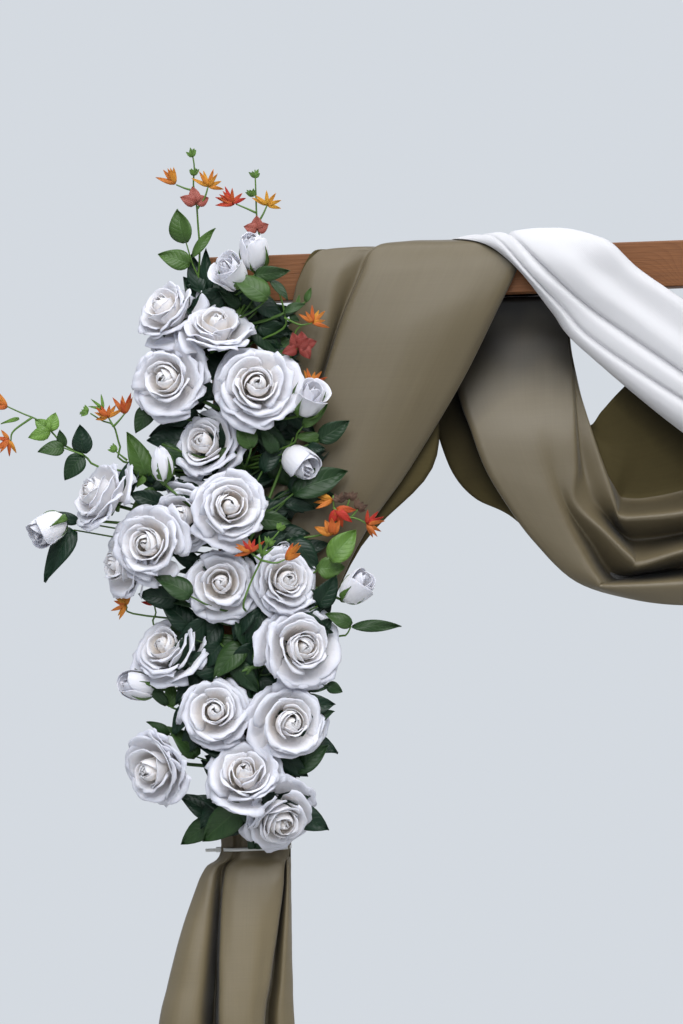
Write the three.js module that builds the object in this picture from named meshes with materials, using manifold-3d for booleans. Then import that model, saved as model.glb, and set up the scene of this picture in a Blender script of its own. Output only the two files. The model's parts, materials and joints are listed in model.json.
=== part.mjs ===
// A timber wedding arch: two square posts on feet, a beam across the top, sage and white cloth draped over
// the beam, and a long spray of silk roses tied to each post.
// Millimetres, +Z up, the front is -Y. The origin is on the floor, midway between the posts.
import * as THREE from "three";
import { mergeVertices } from "three/addons/utils/BufferGeometryUtils.js";
import Module from "manifold-3d";

const wasm = await Module();
wasm.setup();

// Timber
const TIMBER = 60; // side of the square posts, beam and feet
const HALF = TIMBER / 2;
const HEIGHT = 2250; // floor to the top of the beam
const POST_X = 1050; // arch centre to the centre of a post
const FOOT_LENGTH = 650; // front to back
const BRACE = 45; // side of the square back brace
const BRACE_RISE = 280; // height of the brace's upper end above the foot
const CLEARANCE = 0.3; // left between pieces that touch

// Cloth and ties, as modelled
const CLOTH = 5; // a gathered layer
const LAY = 0.7; // between the inner face of a cloth and the timber that it lies on
const WRAP_WIDTH = 218; // the sage wrap in the middle of the beam
const WRAP_DEPTH = 11;
const TIE_DROP = 765; // beam top to the tie round the post
const TIE_WIDTH = 4.5;
const TIE_THICK = 1.8;

// Flowers
const STEM = 3; // radius of a rose's stem
const TWIG = 1.8; // half the width of a leaf's stalk
const LEAF_THICK = 2.5;
const TOGETHER = 0.4; // how far a cutter stands out round the flower that it clears

const colours = {
  timber: new THREE.MeshStandardMaterial({ color: 0x9c6a47, roughness: 0.6 }),
  sage: new THREE.MeshStandardMaterial({ color: 0x827a64, roughness: 0.45 }),
  white: new THREE.MeshStandardMaterial({ color: 0xf0f0f4, roughness: 0.7 }),
  tie: new THREE.MeshStandardMaterial({ color: 0xf4f4f2, roughness: 0.35 }),
  petals: new THREE.MeshStandardMaterial({ color: 0xeeeaf0, roughness: 0.75 }),
  leaves: new THREE.MeshStandardMaterial({ color: 0x28402c, roughness: 0.5 }),
};

// A side's pieces are placed in its own frame: x from the post's centre towards the arch's centre, z down
// from the top of the beam as a negative height. The right side is the left one mirrored.
const floor = -HEIGHT;

function named(name, geometry, material) {
  const mesh = new THREE.Mesh(geometry, material);
  mesh.name = name;
  return mesh;
}

// Shapes

function outline(points) {
  return new THREE.Shape(points.map(([a, b]) => new THREE.Vector2(a, b)));
}

// An outline in the plane of y and z, made solid along x between two places.
function acrossX(points, from, to) {
  const made = new THREE.ExtrudeGeometry(outline(points), {
    depth: to - from,
    bevelEnabled: false,
  });
  const turn = new THREE.Matrix4().set(0, 0, 1, from, 1, 0, 0, 0, 0, 1, 0, 0, 0, 0, 0, 1);
  return made.applyMatrix4(turn);
}

function box(low, high) {
  const size = high.map((h, i) => h - low[i]);
  const middle = high.map((h, i) => (h + low[i]) / 2);
  return new THREE.BoxGeometry(...size).translate(...middle);
}

function curve(points) {
  return new THREE.CatmullRomCurve3(
    points.map((p) => new THREE.Vector3(...p)),
    false,
    "centripetal",
  );
}

// A cloth between two edge curves, as a closed sheet. The folds stand out along the surface's own normal,
// which is the direction from edge a to edge b, crossed with the direction along the edges.
function cloth(edgeA, edgeB, { across, thick, fold }) {
  const a = curve(edgeA);
  const b = curve(edgeB);
  const along = 2 * (edgeA.length - 1); // two steps from each row of edge points to the next
  const sheet = new THREE.BoxGeometry(1, 1, 1, across, along, 1);
  const place = sheet.getAttribute("position");
  const step = 1e-3;
  const flat = (s, t) => a.getPoint(s).lerp(b.getPoint(s), t);
  for (let i = 0; i < place.count; i++) {
    const t = place.getX(i) + 0.5;
    const s = place.getY(i) + 0.5;
    const side = place.getZ(i);
    const width = flat(s, 1).sub(flat(s, 0));
    const run = flat(Math.min(1, s + step), t).sub(flat(Math.max(0, s - step), t));
    const out = width.cross(run).normalize();
    const p = flat(s, t).addScaledVector(out, fold(s, t) + side * thick);
    place.setXYZ(i, p.x, p.y, p.z);
  }
  return bare(sheet);
}

// Only the places of the vertices, each shared by the faces that meet there.
function bare(geometry) {
  const copy = geometry.clone();
  copy.deleteAttribute("normal");
  copy.deleteAttribute("uv");
  return mergeVertices(copy, 1e-3);
}

function solid(geometry) {
  const merged = bare(geometry);
  return new wasm.Manifold(
    new wasm.Mesh({
      numProp: 3,
      vertProperties: merged.getAttribute("position").array,
      triVerts: new Uint32Array(merged.index.array),
    }),
  );
}

function join(solids) {
  return solids.reduce((whole, one) => whole.add(one));
}

// The largest body of a solid, as a geometry.
function geometryOf(whole) {
  const bodies = whole.decompose();
  const largest = bodies.reduce((a, b) => (b.volume() > a.volume() ? b : a));
  const mesh = largest.getMesh();
  const made = new THREE.BufferGeometry();
  made.setAttribute("position", new THREE.BufferAttribute(mesh.vertProperties, 3));
  made.setIndex(new THREE.BufferAttribute(mesh.triVerts, 1));
  return made;
}

// Timber

function post() {
  const top = -TIMBER - CLEARANCE; // the back half stops under the beam
  const bottom = floor + TIMBER + CLEARANCE;
  const rebate = -CLEARANCE / 2;
  const profile = [
    [-HALF, bottom],
    [HALF, bottom],
    [HALF, top],
    [rebate, top],
    [rebate, 0],
    [-HALF, 0],
  ];
  return acrossX(profile, -HALF, HALF);
}

function foot() {
  return box([-HALF, -FOOT_LENGTH / 2, floor], [HALF, FOOT_LENGTH / 2, floor + TIMBER]);
}

function brace() {
  const slant = BRACE * Math.SQRT2; // length of an end that is cut at 45 degrees
  const foothold = floor + TIMBER + CLEARANCE;
  const face = HALF + CLEARANCE;
  const profile = [
    [face + BRACE_RISE - slant, foothold],
    [face + BRACE_RISE, foothold],
    [face, foothold + BRACE_RISE],
    [face, foothold + BRACE_RISE - slant],
  ];
  return acrossX(profile, -BRACE / 2, BRACE / 2);
}

function beam() {
  const end = POST_X + HALF;
  const shoulder = POST_X - HALF - CLEARANCE;
  const lap = CLEARANCE / 2; // the back half laps over each post
  const shape = outline([
    [-shoulder, -HALF],
    [shoulder, -HALF],
    [shoulder, lap],
    [end, lap],
    [end, HALF],
    [-end, HALF],
    [-end, lap],
    [-shoulder, lap],
  ]);
  const made = new THREE.ExtrudeGeometry(shape, { depth: TIMBER, bevelEnabled: false });
  return made.translate(0, 0, HEIGHT - TIMBER);
}

// Sage cloth

const SKIN = HALF + LAY + CLOTH / 2; // from the beam's middle to the middle of a cloth on its face
const CREST = LAY + CLOTH / 2; // the same, above the beam's top
const CORNER = HALF + 2; // where that cloth turns over an edge of the beam
const OVER_TIE = -TIE_DROP + TIE_WIDTH / 2 + CLEARANCE;
const BACK_HEM = -TIMBER - 2; // the fall ends here behind the beam, and the swag starts

// The fall: tied to the post, spreading up to the beam, over it and down its back.
const fallLeft = [
  [-40, -44, OVER_TIE],
  [-44, -44, -700],
  [-34, -44, -600],
  [-14, -44, -500],
  [12, -41, -370],
  [45, -37, -228],
  [74, -SKIN, -90],
  [90, -SKIN, -22],
  [98, -CORNER, CREST],
  [112, 0, CREST],
  [135, CORNER, CREST],
  [165, SKIN, -22],
  [205, SKIN, BACK_HEM],
];
const fallRight = [
  [50, -44, OVER_TIE],
  [62, -44, -700],
  [88, -44, -600],
  [118, -44, -490],
  [160, -42, -366],
  [258, -40, -226],
  [340, -SKIN, -80],
  [368, -SKIN, -24],
  [376, -CORNER, CREST],
  [386, 0, CREST],
  [400, CORNER, CREST],
  [425, SKIN, -22],
  [450, SKIN, BACK_HEM],
];

// Folds across a cloth: how far it stands out, from 0 to 1, at a share t of its width.
function ripple(folds, t, shift = 0) {
  return 0.5 - 0.5 * Math.cos(2 * Math.PI * (folds * t + shift));
}

const FALL_FLAT = 2; // depth of the fall's folds at the beam
const FALL_GATHERED = 9; // added to that at the tie

function fallFold(s, t) {
  const gathered = Math.max(0, 1 - s * 2.2); // tight at the tie, nearly flat at the beam
  return (FALL_FLAT + FALL_GATHERED * gathered) * ripple(4, t, 0.2);
}

function fall(thick = CLOTH) {
  return cloth(fallLeft, fallRight, { across: 7, thick, fold: fallFold });
}

// The swag: from behind the beam down into a deep loop, up behind the beam again and over it.
const swagInner = [
  [450, SKIN, BACK_HEM - 0.6],
  [446, 33, -110],
  [447, 26, -170],
  [458, 18, -212],
  [476, 12, -232],
  [496, 12, -220],
  [520, 14, -192],
  [546, 18, -163],
  [572, 23, -136],
  [600, 28, -108],
  [626, 32, -83],
  [645, SKIN, -62],
  [655, SKIN, -22],
  [662, CORNER, CREST],
  [666, 0, CREST],
  [668, -CORNER, CREST],
  [670, -SKIN, -22],
  [672, -SKIN, -TIMBER],
];
const swagOuter = [
  [205, SKIN, BACK_HEM - 0.6],
  [236, 33, -160],
  [262, 26, -236],
  [284, 20, -286],
  [326, 14, -332],
  [392, 8, -382],
  [470, 6, -436],
  [560, 6, -466],
  [650, 8, -468],
  [740, 16, -432],
  [840, 26, -340],
  [932, SKIN, -62],
  [938, SKIN, -22],
  [938, CORNER, CREST],
  [938, 0, CREST],
  [938, -CORNER, CREST],
  [938, -SKIN, -22],
  [938, -SKIN, -TIMBER],
];

const SWAG_FOLD = 16;

function swagFold(s, t) {
  const free = 0.64; // share of its length that hangs: the rest lies on the beam, without folds
  const loose = Math.sin(Math.PI * Math.min(1, s / free));
  return SWAG_FOLD * loose * ripple(3, t);
}

function swag() {
  return cloth(swagInner, swagOuter, { across: 6, thick: CLOTH, fold: swagFold });
}

// The tail: below the tie the cloth flares and hangs in front of the post to just above the foot.
const HEM = floor + TIMBER + 8;
const UNDER_TIE = -TIE_DROP - TIE_WIDTH / 2 - CLEARANCE;
const tailRight = [
  [48, -44, UNDER_TIE],
  [51, -44, -800],
  [49, -44, -860],
  [48, -48, -930],
  [49, -54, -1010],
  [58, -62, -1400],
  [78, -64, -1800],
  [98, -64, HEM],
];
const tailLeft = [
  [-38, -44, UNDER_TIE],
  [-62, -44, -808],
  [-90, -44, -874],
  [-112, -48, -940],
  [-126, -54, -1000],
  [-180, -62, -1400],
  [-212, -64, -1800],
  [-232, -64, HEM],
];

const TAIL_TIED = 11; // depth of the tail's folds at the tie
const TAIL_LOOSE = 17; // added to that where it hangs free

function tailFold(s, t) {
  const loose = Math.min(1, s * 1.5);
  return (TAIL_TIED + TAIL_LOOSE * loose) * ripple(3, t, 0.1);
}

function tail() {
  return cloth(tailRight, tailLeft, { across: 11, thick: CLOTH, fold: tailFold });
}

// The wrap: the sage cloth wound round the middle of the beam, between the two swags.
function wrap() {
  const inner = HALF + LAY;
  const outer = inner + WRAP_DEPTH;
  const round = 14;
  const ring = new THREE.Shape();
  ring.moveTo(-outer + round, -outer);
  ring.lineTo(outer - round, -outer);
  ring.absarc(outer - round, -outer + round, round, -Math.PI / 2, 0);
  ring.absarc(outer - round, outer - round, round, 0, Math.PI / 2);
  ring.absarc(-outer + round, outer - round, round, Math.PI / 2, Math.PI);
  ring.absarc(-outer + round, -outer + round, round, Math.PI, 1.5 * Math.PI);
  const hole = new THREE.Path();
  hole.moveTo(-inner, -inner);
  hole.lineTo(-inner, inner);
  hole.lineTo(inner, inner);
  hole.lineTo(inner, -inner);
  ring.holes.push(hole);
  const made = new THREE.ExtrudeGeometry(ring, {
    depth: WRAP_WIDTH,
    bevelEnabled: false,
    curveSegments: 3,
  });
  return made.rotateY(Math.PI / 2).translate(-WRAP_WIDTH / 2, 0, HEIGHT - HALF);
}

// White cloth: over the beam from behind, then one long swag across the front to the far side.

const WHITE_THICK = 6;
const WHITE_CREST = 18; // it lies on the sage cloth, above the beam's top
const WHITE_FRONT = -50;
const WHITE_MIDDLE = -44;
const LOW_UPPER = -276; // the upper and lower edges in the middle of the arch
const LOW_LOWER = -400;

// Height of an edge at x, on a parabola with its lowest point in the middle of the arch.
function hanging(lowest, rise, x) {
  return lowest + rise * (POST_X - x) ** 2;
}
const upperRise = 0.00089;
const lowerRise = 0.00066;
const upperAt = (x, y) => [x, y, hanging(LOW_UPPER, upperRise, x)];
const lowerAt = (x, y) => [x, y, hanging(LOW_LOWER, lowerRise, x)];

const whiteUpper = [
  [470, 52, -170],
  [468, 52, -70],
  [462, 46, 4],
  [462, 10, WHITE_CREST],
  [478, -36, WHITE_CREST - 4],
  [520, WHITE_FRONT, -26],
  upperAt(590, WHITE_FRONT),
  upperAt(700, WHITE_FRONT + 2),
  upperAt(860, WHITE_MIDDLE),
  upperAt(POST_X, WHITE_MIDDLE),
];
const whiteLower = [
  [312, 52, -150],
  [304, 52, -70],
  [292, 46, 4],
  [296, 10, WHITE_CREST - 3],
  [334, -36, WHITE_CREST - 4],
  [396, WHITE_FRONT, -62],
  [486, WHITE_FRONT, -180],
  lowerAt(640, WHITE_FRONT + 2),
  lowerAt(830, WHITE_MIDDLE),
  lowerAt(POST_X, WHITE_MIDDLE),
];

// An edge and its mirror image, joined in the middle of the arch.
function bothSides(edge) {
  const far = edge.slice(0, -1).map(([x, y, z]) => [2 * POST_X - x, y, z]);
  return [...edge, ...far.reverse()];
}

const WHITE_FOLD = 5;

function whiteSwag() {
  const fold = (s, t) => WHITE_FOLD * ripple(3, t);
  const shape = { across: 6, thick: WHITE_THICK, fold };
  return cloth(bothSides(whiteUpper), bothSides(whiteLower), shape);
}

// Tie: a flat nylon strap round the post and the cloth, with its trimmed end sticking out.
function tie() {
  const left = -41;
  const right = 51;
  const front = -58;
  const back = HALF + CLEARANCE;
  const round = 16;
  const loop = (path, grow) => {
    path.moveTo(left - grow + round, front - grow);
    path.lineTo(right + grow - round, front - grow);
    path.absarc(right + grow - round, front - grow + round, round, -Math.PI / 2, 0);
    path.lineTo(right + grow, back + grow);
    path.lineTo(left - grow, back + grow);
    path.lineTo(left - grow, front - grow + round);
    path.absarc(left - grow + round, front - grow + round, round, Math.PI, 1.5 * Math.PI);
    return path;
  };
  const ring = loop(new THREE.Shape(), TIE_THICK);
  ring.holes.push(loop(new THREE.Path(), 0));
  const strap = new THREE.ExtrudeGeometry(ring, {
    depth: TIE_WIDTH,
    bevelEnabled: false,
    curveSegments: 4,
  });
  strap.translate(0, 0, -TIE_DROP - TIE_WIDTH / 2);
  const half = TIE_WIDTH / 2;
  const headWidth = 6;
  const endLength = 23; // the trimmed end, from the strap
  const middle = front + 13; // of the head, from front to back
  const end = box(
    [left - endLength - 1, middle - TIE_THICK / 2, -TIE_DROP - half],
    [left - 1, middle + TIE_THICK / 2, -TIE_DROP + half],
  );
  const head = box(
    [left - headWidth - 1, middle - TIE_WIDTH, -TIE_DROP - half - 1],
    [left - 1, middle + TIE_WIDTH, -TIE_DROP + half + 1],
  );
  return geometryOf(join([strap, end, head].map(solid)));
}

// Flowers

// Each rose: centre x, y, z, radius, and the way it faces, as a turn towards the arch and a tilt up.
const roses = {
  crown: [
    [-86, -70, -68, 45, -45, 35],
    [-21, -96, -94, 48, 5, 50],
  ],
  upper: [
    [-85, -100, -158, 52, -20, 5],
    [29, -114, -171, 54, 5, 5],
    [-41, -82, -242, 45, -20, 15],
  ],
  outer: [
    [-181, -72, -302, 48, -60, 20],
    [-116, -112, -368, 50, -20, 0],
    [-153, -78, -392, 46, -60, 0],
  ],
  middle: [
    [-11, -126, -324, 50, 5, 5],
    [-70, -92, -334, 46, -25, 0],
    [-25, -106, -421, 47, 0, 0],
    [56, -106, -420, 44, 25, 5],
  ],
  lower: [
    [73, -110, -506, 55, 25, -5],
    [-100, -78, -500, 46, -40, 35],
    [-40, -110, -585, 48, 0, 5],
  ],
  foot: [
    [54, -110, -603, 53, 20, 0],
    [-4, -118, -666, 52, 0, 25],
    [-120, -86, -656, 52, -45, -15],
    [38, -98, -725, 50, 20, -35],
  ],
};

// Each bud: centre x, y, z, radius, turn and tilt.
const buds = {
  crown: [
    [1, -92, -25, 20, -20, 45],
    [31, -84, 1, 20, 15, 65],
  ],
  upper: [[95, -106, -190, 24, 50, 30]],
  outer: [[-249, -70, -340, 24, -75, 5]],
  middle: [
    [78, -92, -268, 20, 30, -40],
    [-95, -104, -267, 15, -10, 60],
    [149, -96, -432, 20, 60, 20],
    [54, -84, -386, 16, 20, 40],
  ],
  lower: [[-140, -80, -549, 18, -60, 10]],
  foot: [],
};

// Where the stems of each cluster meet, on the front of the main stem.
const hubs = {
  crown: [0, -78, -90],
  upper: [2, -82, -205],
  outer: [-4, -96, -346],
  middle: [10, -104, -372],
  lower: [8, -106, -530],
  foot: [6, -106, -650],
};

const mainStem = [
  [-4, -48, -6],
  [0, -50, -120],
  [4, -58, -250],
  [8, -74, -380],
  [8, -80, -560],
  [6, -74, -TIE_DROP + 14],
];
const MAIN_RADIUS = 19;
const KNOT_RADIUS = 9; // of the knot where a cluster's stems meet
const ROOT_DEPTH = 4; // stalks start this far in front of the main stem's middle
const LEAF_DROP = 20; // a leaf's stalk starts this far below the leaf
const LEAF_DIP = 6; // a leaf's tip is this far in front of its base
const SPRIG = 18; // width and height of a sprig's tuft

// Each leaf: x and z of its stalk end, x and z of its tip, width, and y.
const leaves = [
  [-48, 19, -64, 58, 36, -62],
  [-53, -6, -92, 2, 26, -60],
  [50, -40, 78, -56, 18, -74],
  [76, -247, 146, -224, 30, -76],
  [81, -258, 130, -250, 22, -84],
  [66, -313, 140, -292, 34, -84],
  [65, -326, 104, -340, 22, -78],
  [112, -402, 150, -354, 34, -96],
  [112, -404, 136, -440, 28, -90],
  [132, -462, 202, -478, 16, -88],
  [-128, -322, -112, -250, 26, -78],
  [-188, -234, -216, -208, 22, -60],
  [-228, -214, -266, -232, 20, -58],
  [-202, -240, -234, -274, 20, -62],
  [-230, -360, -258, -410, 30, -62],
  [98, -608, 138, -596, 18, -86],
  [84, -636, 116, -670, 20, -84],
  [-4, -712, -58, -748, 34, -112],
  [-104, -604, -142, -570, 20, -70],
];

// Each sprig: x, y, z of its tip, and the height of its foot on the main stem.
const sprigs = [
  [-77, -66, 104, -20],
  [-25, -70, 108, -20],
  [0, -74, 76, -24],
  [52, -70, 78, -20],
  [106, -76, -82, -110],
  [-300, -62, -228, -300],
  [-304, -56, -184, -290],
  [-174, -70, -194, -260],
  [170, -86, -350, -380],
  [144, -84, -306, -360],
];

// The way that a flower faces, from its turn towards the arch and its tilt up, in degrees.
function facing(turn, tilt) {
  const a = THREE.MathUtils.degToRad(turn);
  const b = THREE.MathUtils.degToRad(tilt);
  return new THREE.Vector3(
    Math.sin(a) * Math.cos(b),
    -Math.cos(a) * Math.cos(b),
    Math.sin(b),
  );
}

// A turned shape on a flower's axis. The profile is in units of its radius, from its stem to its tip.
function turned(profile, sides, [x, y, z, radius, turn, tilt], grow) {
  const points = profile.map(([r, h]) => new THREE.Vector2(r * (radius + grow), h * (radius + grow)));
  const made = new THREE.LatheGeometry(points, sides);
  const up = new THREE.Vector3(0, 1, 0);
  const aim = new THREE.Quaternion().setFromUnitVectors(up, facing(turn, tilt));
  made.applyQuaternion(aim).translate(x, y, z);
  return solid(made);
}

const roseProfile = [
  [0, -0.62],
  [0.34, -0.52],
  [0.8, -0.1],
  [1, 0.12],
  [0.74, 0.36],
  [0, 0.44],
];
const budProfile = [
  [0, -1],
  [0.7, -0.62],
  [0.95, 0],
  [0.6, 0.75],
  [0, 1.05],
];
const rose = (spec, grow) => turned(roseProfile, 9, spec, grow);
const bud = (spec, grow) => turned(budProfile, 6, spec, grow);

// A straight stem between two places.
function stem(from, to, radius, sides, grow) {
  const a = new THREE.Vector3(...from);
  const b = new THREE.Vector3(...to);
  const run = b.clone().sub(a);
  const thick = radius + grow;
  const made = new THREE.CylinderGeometry(thick, thick, run.length() + 2 * grow, sides);
  const up = new THREE.Vector3(0, 1, 0);
  const aim = new THREE.Quaternion().setFromUnitVectors(up, run.normalize());
  const middle = a.add(b).multiplyScalar(0.5);
  return solid(made.applyQuaternion(aim).translate(middle.x, middle.y, middle.z));
}

// A leaf on its stalk, flat and facing the front: an outline in x and z with an even thickness, sloped in y
// from its root on the main stem to its tip.
function leafOnStalk(root, base, tip, width) {
  const at = (p) => new THREE.Vector2(p[0], p[2]);
  const [r, b, t] = [root, base, tip].map(at);
  const across = (from, to) => to.clone().sub(from).normalize().rotateAround(new THREE.Vector2(), Math.PI / 2);
  const stalk = across(r, b).multiplyScalar(TWIG);
  const blade = across(b, t).multiplyScalar(width / 2);
  const shares = [[0.3, 0.92], [0.65, 0.86]]; // along the blade, and how much of the half width it has there
  const side = (sign) => [
    r.clone().addScaledVector(stalk, sign),
    b.clone().addScaledVector(stalk, sign),
    ...shares.map(([along, wide]) => b.clone().lerp(t, along).addScaledVector(blade, sign * wide)),
  ];
  const shape = new THREE.Shape([...side(1), t, ...side(-1).reverse()]);
  const made = new THREE.ExtrudeGeometry(shape, { depth: LEAF_THICK, bevelEnabled: false });
  const place = made.getAttribute("position");
  for (let i = 0; i < place.count; i++) {
    const p = new THREE.Vector2(place.getX(i), place.getY(i));
    const share = p.distanceTo(r) / t.distanceTo(r);
    const y = THREE.MathUtils.lerp(root[1], tip[1], share) - place.getZ(i);
    place.setXYZ(i, p.x, y, p.y);
  }
  return solid(made);
}

// A cluster of roses and buds on stems that meet at the main stem.
function cluster(name, grow = 0) {
  const hub = hubs[name];
  const [x, y, z] = hub;
  const knot = turned(budProfile, 6, [x, y, z, KNOT_RADIUS, 0, 0], grow);
  const flowers = [
    ...roses[name].map((spec) => rose(spec, grow)),
    ...buds[name].map((spec) => bud(spec, grow)),
  ];
  const stems = [...roses[name], ...buds[name]].map((spec) =>
    stem(hub, spec.slice(0, 3), STEM, 4, grow),
  );
  return join([knot, ...flowers, ...stems]);
}

// The place on the main stem at a given height.
function onMainStem(height) {
  const route = curve(mainStem);
  const top = mainStem[0][2];
  const low = mainStem[mainStem.length - 1][2];
  const share = THREE.MathUtils.clamp((top - height) / (top - low), 0, 1);
  const place = route.getPointAt(share);
  return [place.x, place.y - ROOT_DEPTH, place.z];
}

function mainStemSolid() {
  const section = new THREE.Shape();
  section.absarc(0, 0, MAIN_RADIUS, 0, 2 * Math.PI);
  const options = { steps: 7, extrudePath: curve(mainStem), curveSegments: 4 };
  return solid(new THREE.ExtrudeGeometry(section, options));
}

function foliage() {
  const parts = [mainStemSolid()];
  for (const [x0, z0, x1, z1, width, y] of leaves) {
    const root = onMainStem(z0 - LEAF_DROP);
    parts.push(leafOnStalk(root, [x0, y, z0], [x1, y - LEAF_DIP, z1], width));
  }
  for (const [x, y, z, from] of sprigs) {
    const root = onMainStem(from);
    const half = SPRIG / 2;
    const out = Math.sign(x - root[0]) * half;
    parts.push(leafOnStalk(root, [x - out, y, z - half], [x + out, y, z + half], SPRIG));
  }
  return join(parts);
}

function flowerNodes() {
  const nodes = [];
  const reach = HALF + CLEARANCE;
  const behind = [
    solid(box([-reach, -reach, floor], [reach, HALF, CLEARANCE])),
    solid(box([HALF, -reach, -TIMBER - CLEARANCE], [POST_X, HALF, CLEARANCE])),
    solid(fall(CLOTH + 2 * TOGETHER)),
  ];
  let taken = join(behind);
  for (const name of Object.keys(hubs)) {
    nodes.push([`${name}_roses`, geometryOf(cluster(name).subtract(taken)), colours.petals]);
    taken = taken.add(cluster(name, TOGETHER));
  }
  nodes.push(["foliage", geometryOf(foliage().subtract(taken)), colours.leaves]);
  return nodes;
}

// The arch

const pieces = [
  ["post", post(), colours.timber],
  ["foot", foot(), colours.timber],
  ["back_brace", brace(), colours.timber],
  ["sage_fall", fall(), colours.sage],
  ["sage_swag", swag(), colours.sage],
  ["sage_tail", tail(), colours.sage],
  ["tie", tie(), colours.tie],
  ...flowerNodes(),
];

function side(label) {
  const group = new THREE.Group();
  for (const [name, geometry, material] of pieces)
    group.add(named(`${label}_${name}`, geometry, material));
  return group;
}

const arch = new THREE.Group();
const left = side("left");
left.position.set(-POST_X, 0, HEIGHT);
const right = side("right");
right.position.set(POST_X, 0, HEIGHT);
right.scale.x = -1;
arch.add(left, right);

arch.add(named("beam", beam(), colours.timber));
arch.add(named("centre_sage_wrap", wrap(), colours.sage));

const white = named("white_swag", whiteSwag(), colours.white);
white.position.set(-POST_X, 0, HEIGHT);
arch.add(white);

export default arch;
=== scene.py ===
# %% [markdown]
# # A wedding arch dressed with cloth and silk roses
# The arch is a square timber frame. A grey-olive satin hangs over its beam and is tied to each post, a
# white crepe crosses the middle, and a long spray of silk roses covers each tie. We start by loading the
# plain solids of the arch. They hold every size, so each piece that we make takes its place from them.

import json
import math
import random

import bmesh
import bpy
import numpy as np
from mathutils import Matrix, Vector, noise
from mathutils.bvhtree import BVHTree

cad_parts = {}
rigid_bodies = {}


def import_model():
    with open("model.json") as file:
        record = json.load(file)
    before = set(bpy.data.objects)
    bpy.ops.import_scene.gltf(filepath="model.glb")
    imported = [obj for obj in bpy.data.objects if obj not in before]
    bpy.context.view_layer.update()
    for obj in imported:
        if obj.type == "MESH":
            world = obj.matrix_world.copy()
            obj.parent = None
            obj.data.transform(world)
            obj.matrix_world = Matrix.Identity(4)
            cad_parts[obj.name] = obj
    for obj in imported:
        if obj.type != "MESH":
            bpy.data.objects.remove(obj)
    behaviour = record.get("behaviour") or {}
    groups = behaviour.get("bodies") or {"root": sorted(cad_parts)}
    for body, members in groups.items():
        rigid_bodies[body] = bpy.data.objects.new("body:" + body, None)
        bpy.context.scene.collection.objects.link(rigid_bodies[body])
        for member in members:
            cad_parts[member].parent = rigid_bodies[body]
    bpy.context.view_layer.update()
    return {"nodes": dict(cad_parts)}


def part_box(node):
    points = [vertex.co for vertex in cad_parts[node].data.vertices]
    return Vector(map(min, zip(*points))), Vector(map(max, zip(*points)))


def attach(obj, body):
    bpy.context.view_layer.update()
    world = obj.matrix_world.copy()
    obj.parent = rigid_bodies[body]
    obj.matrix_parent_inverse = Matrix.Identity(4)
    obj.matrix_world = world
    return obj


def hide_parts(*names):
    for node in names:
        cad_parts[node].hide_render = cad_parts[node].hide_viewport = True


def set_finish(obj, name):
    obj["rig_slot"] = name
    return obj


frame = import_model()

# %% [markdown]
# Cloth and flowers are easiest to place by what carries them. So their places are written in millimetres
# from the left post: x to the right of its middle, y from its middle towards the back, and a drop below the
# beam's top. One small function turns these into metres in the arch's own frame.

# %% Measures
MM = 0.001
post_low, post_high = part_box("left_post")
POST_X = (post_low.x + post_high.x) / 2
BEAM_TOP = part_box("beam")[1].z
TIMBER = post_high.x - post_low.x
MIDDLE = -POST_X / MM  # from the post to the middle of the arch, in millimetres


def spot(x, y, drop):
    return Vector((POST_X + x * MM, y * MM, BEAM_TOP - drop * MM))


print("post at", round(POST_X, 3), "beam top at", round(BEAM_TOP, 3), "timber", round(TIMBER, 3))

# %% [markdown]
# ## Camera
# The picture was taken with a long lens, level with the flowers, and turned by two degrees. A long lens far
# away keeps the post and beam nearly parallel. Blender's lens is a focal length on a 36 mm sensor, so it
# follows from the distance and from how much of the arch the picture's height takes in.

# %% Camera
VIEW_HEIGHT = 1.331  # metres of the arch from the top to the bottom of the picture
VIEW_DISTANCE = 6.0
SENSOR = 36
ROLL = math.radians(-2.1)
VIEW_MIDDLE = (131, 335.5)  # x and drop of the picture's middle
FAR_END = 60  # nothing further away than this, in metres, is drawn

camera_data = bpy.data.cameras.new("camera")
camera_data.sensor_width = SENSOR
camera_data.lens = SENSOR * VIEW_DISTANCE / VIEW_HEIGHT
camera_data.clip_end = FAR_END
camera = bpy.data.objects.new("camera", camera_data)
bpy.context.scene.collection.objects.link(camera)
upright = Matrix.Rotation(math.radians(90), 4, "X")
roll = Matrix.Rotation(ROLL, 4, "Z")
stand = spot(VIEW_MIDDLE[0], -VIEW_DISTANCE / MM, VIEW_MIDDLE[1])
camera.matrix_world = Matrix.Translation(stand) @ upright @ roll
bpy.context.scene.camera = camera
print("lens", round(camera_data.lens, 1), "mm")

# %% [markdown]
# ## Floor and light
# An overcast sky lights the arch softly. Two very large lamps, one overhead and one high in front, stand
# for its bright part, and a third keeps the back from going black. The world gives the rest of the sky,
# strongest overhead and weak at the horizon. The camera sees one even, pale colour in its place, which the
# world's Light Path node allows.

# %% Floor
FLOOR_RADIUS = 5.5
FLOOR_SIDES = 96
FLOOR_GREY = (0.5, 0.5, 0.49, 1)
FLOOR_ROUGH = 0.9

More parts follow.
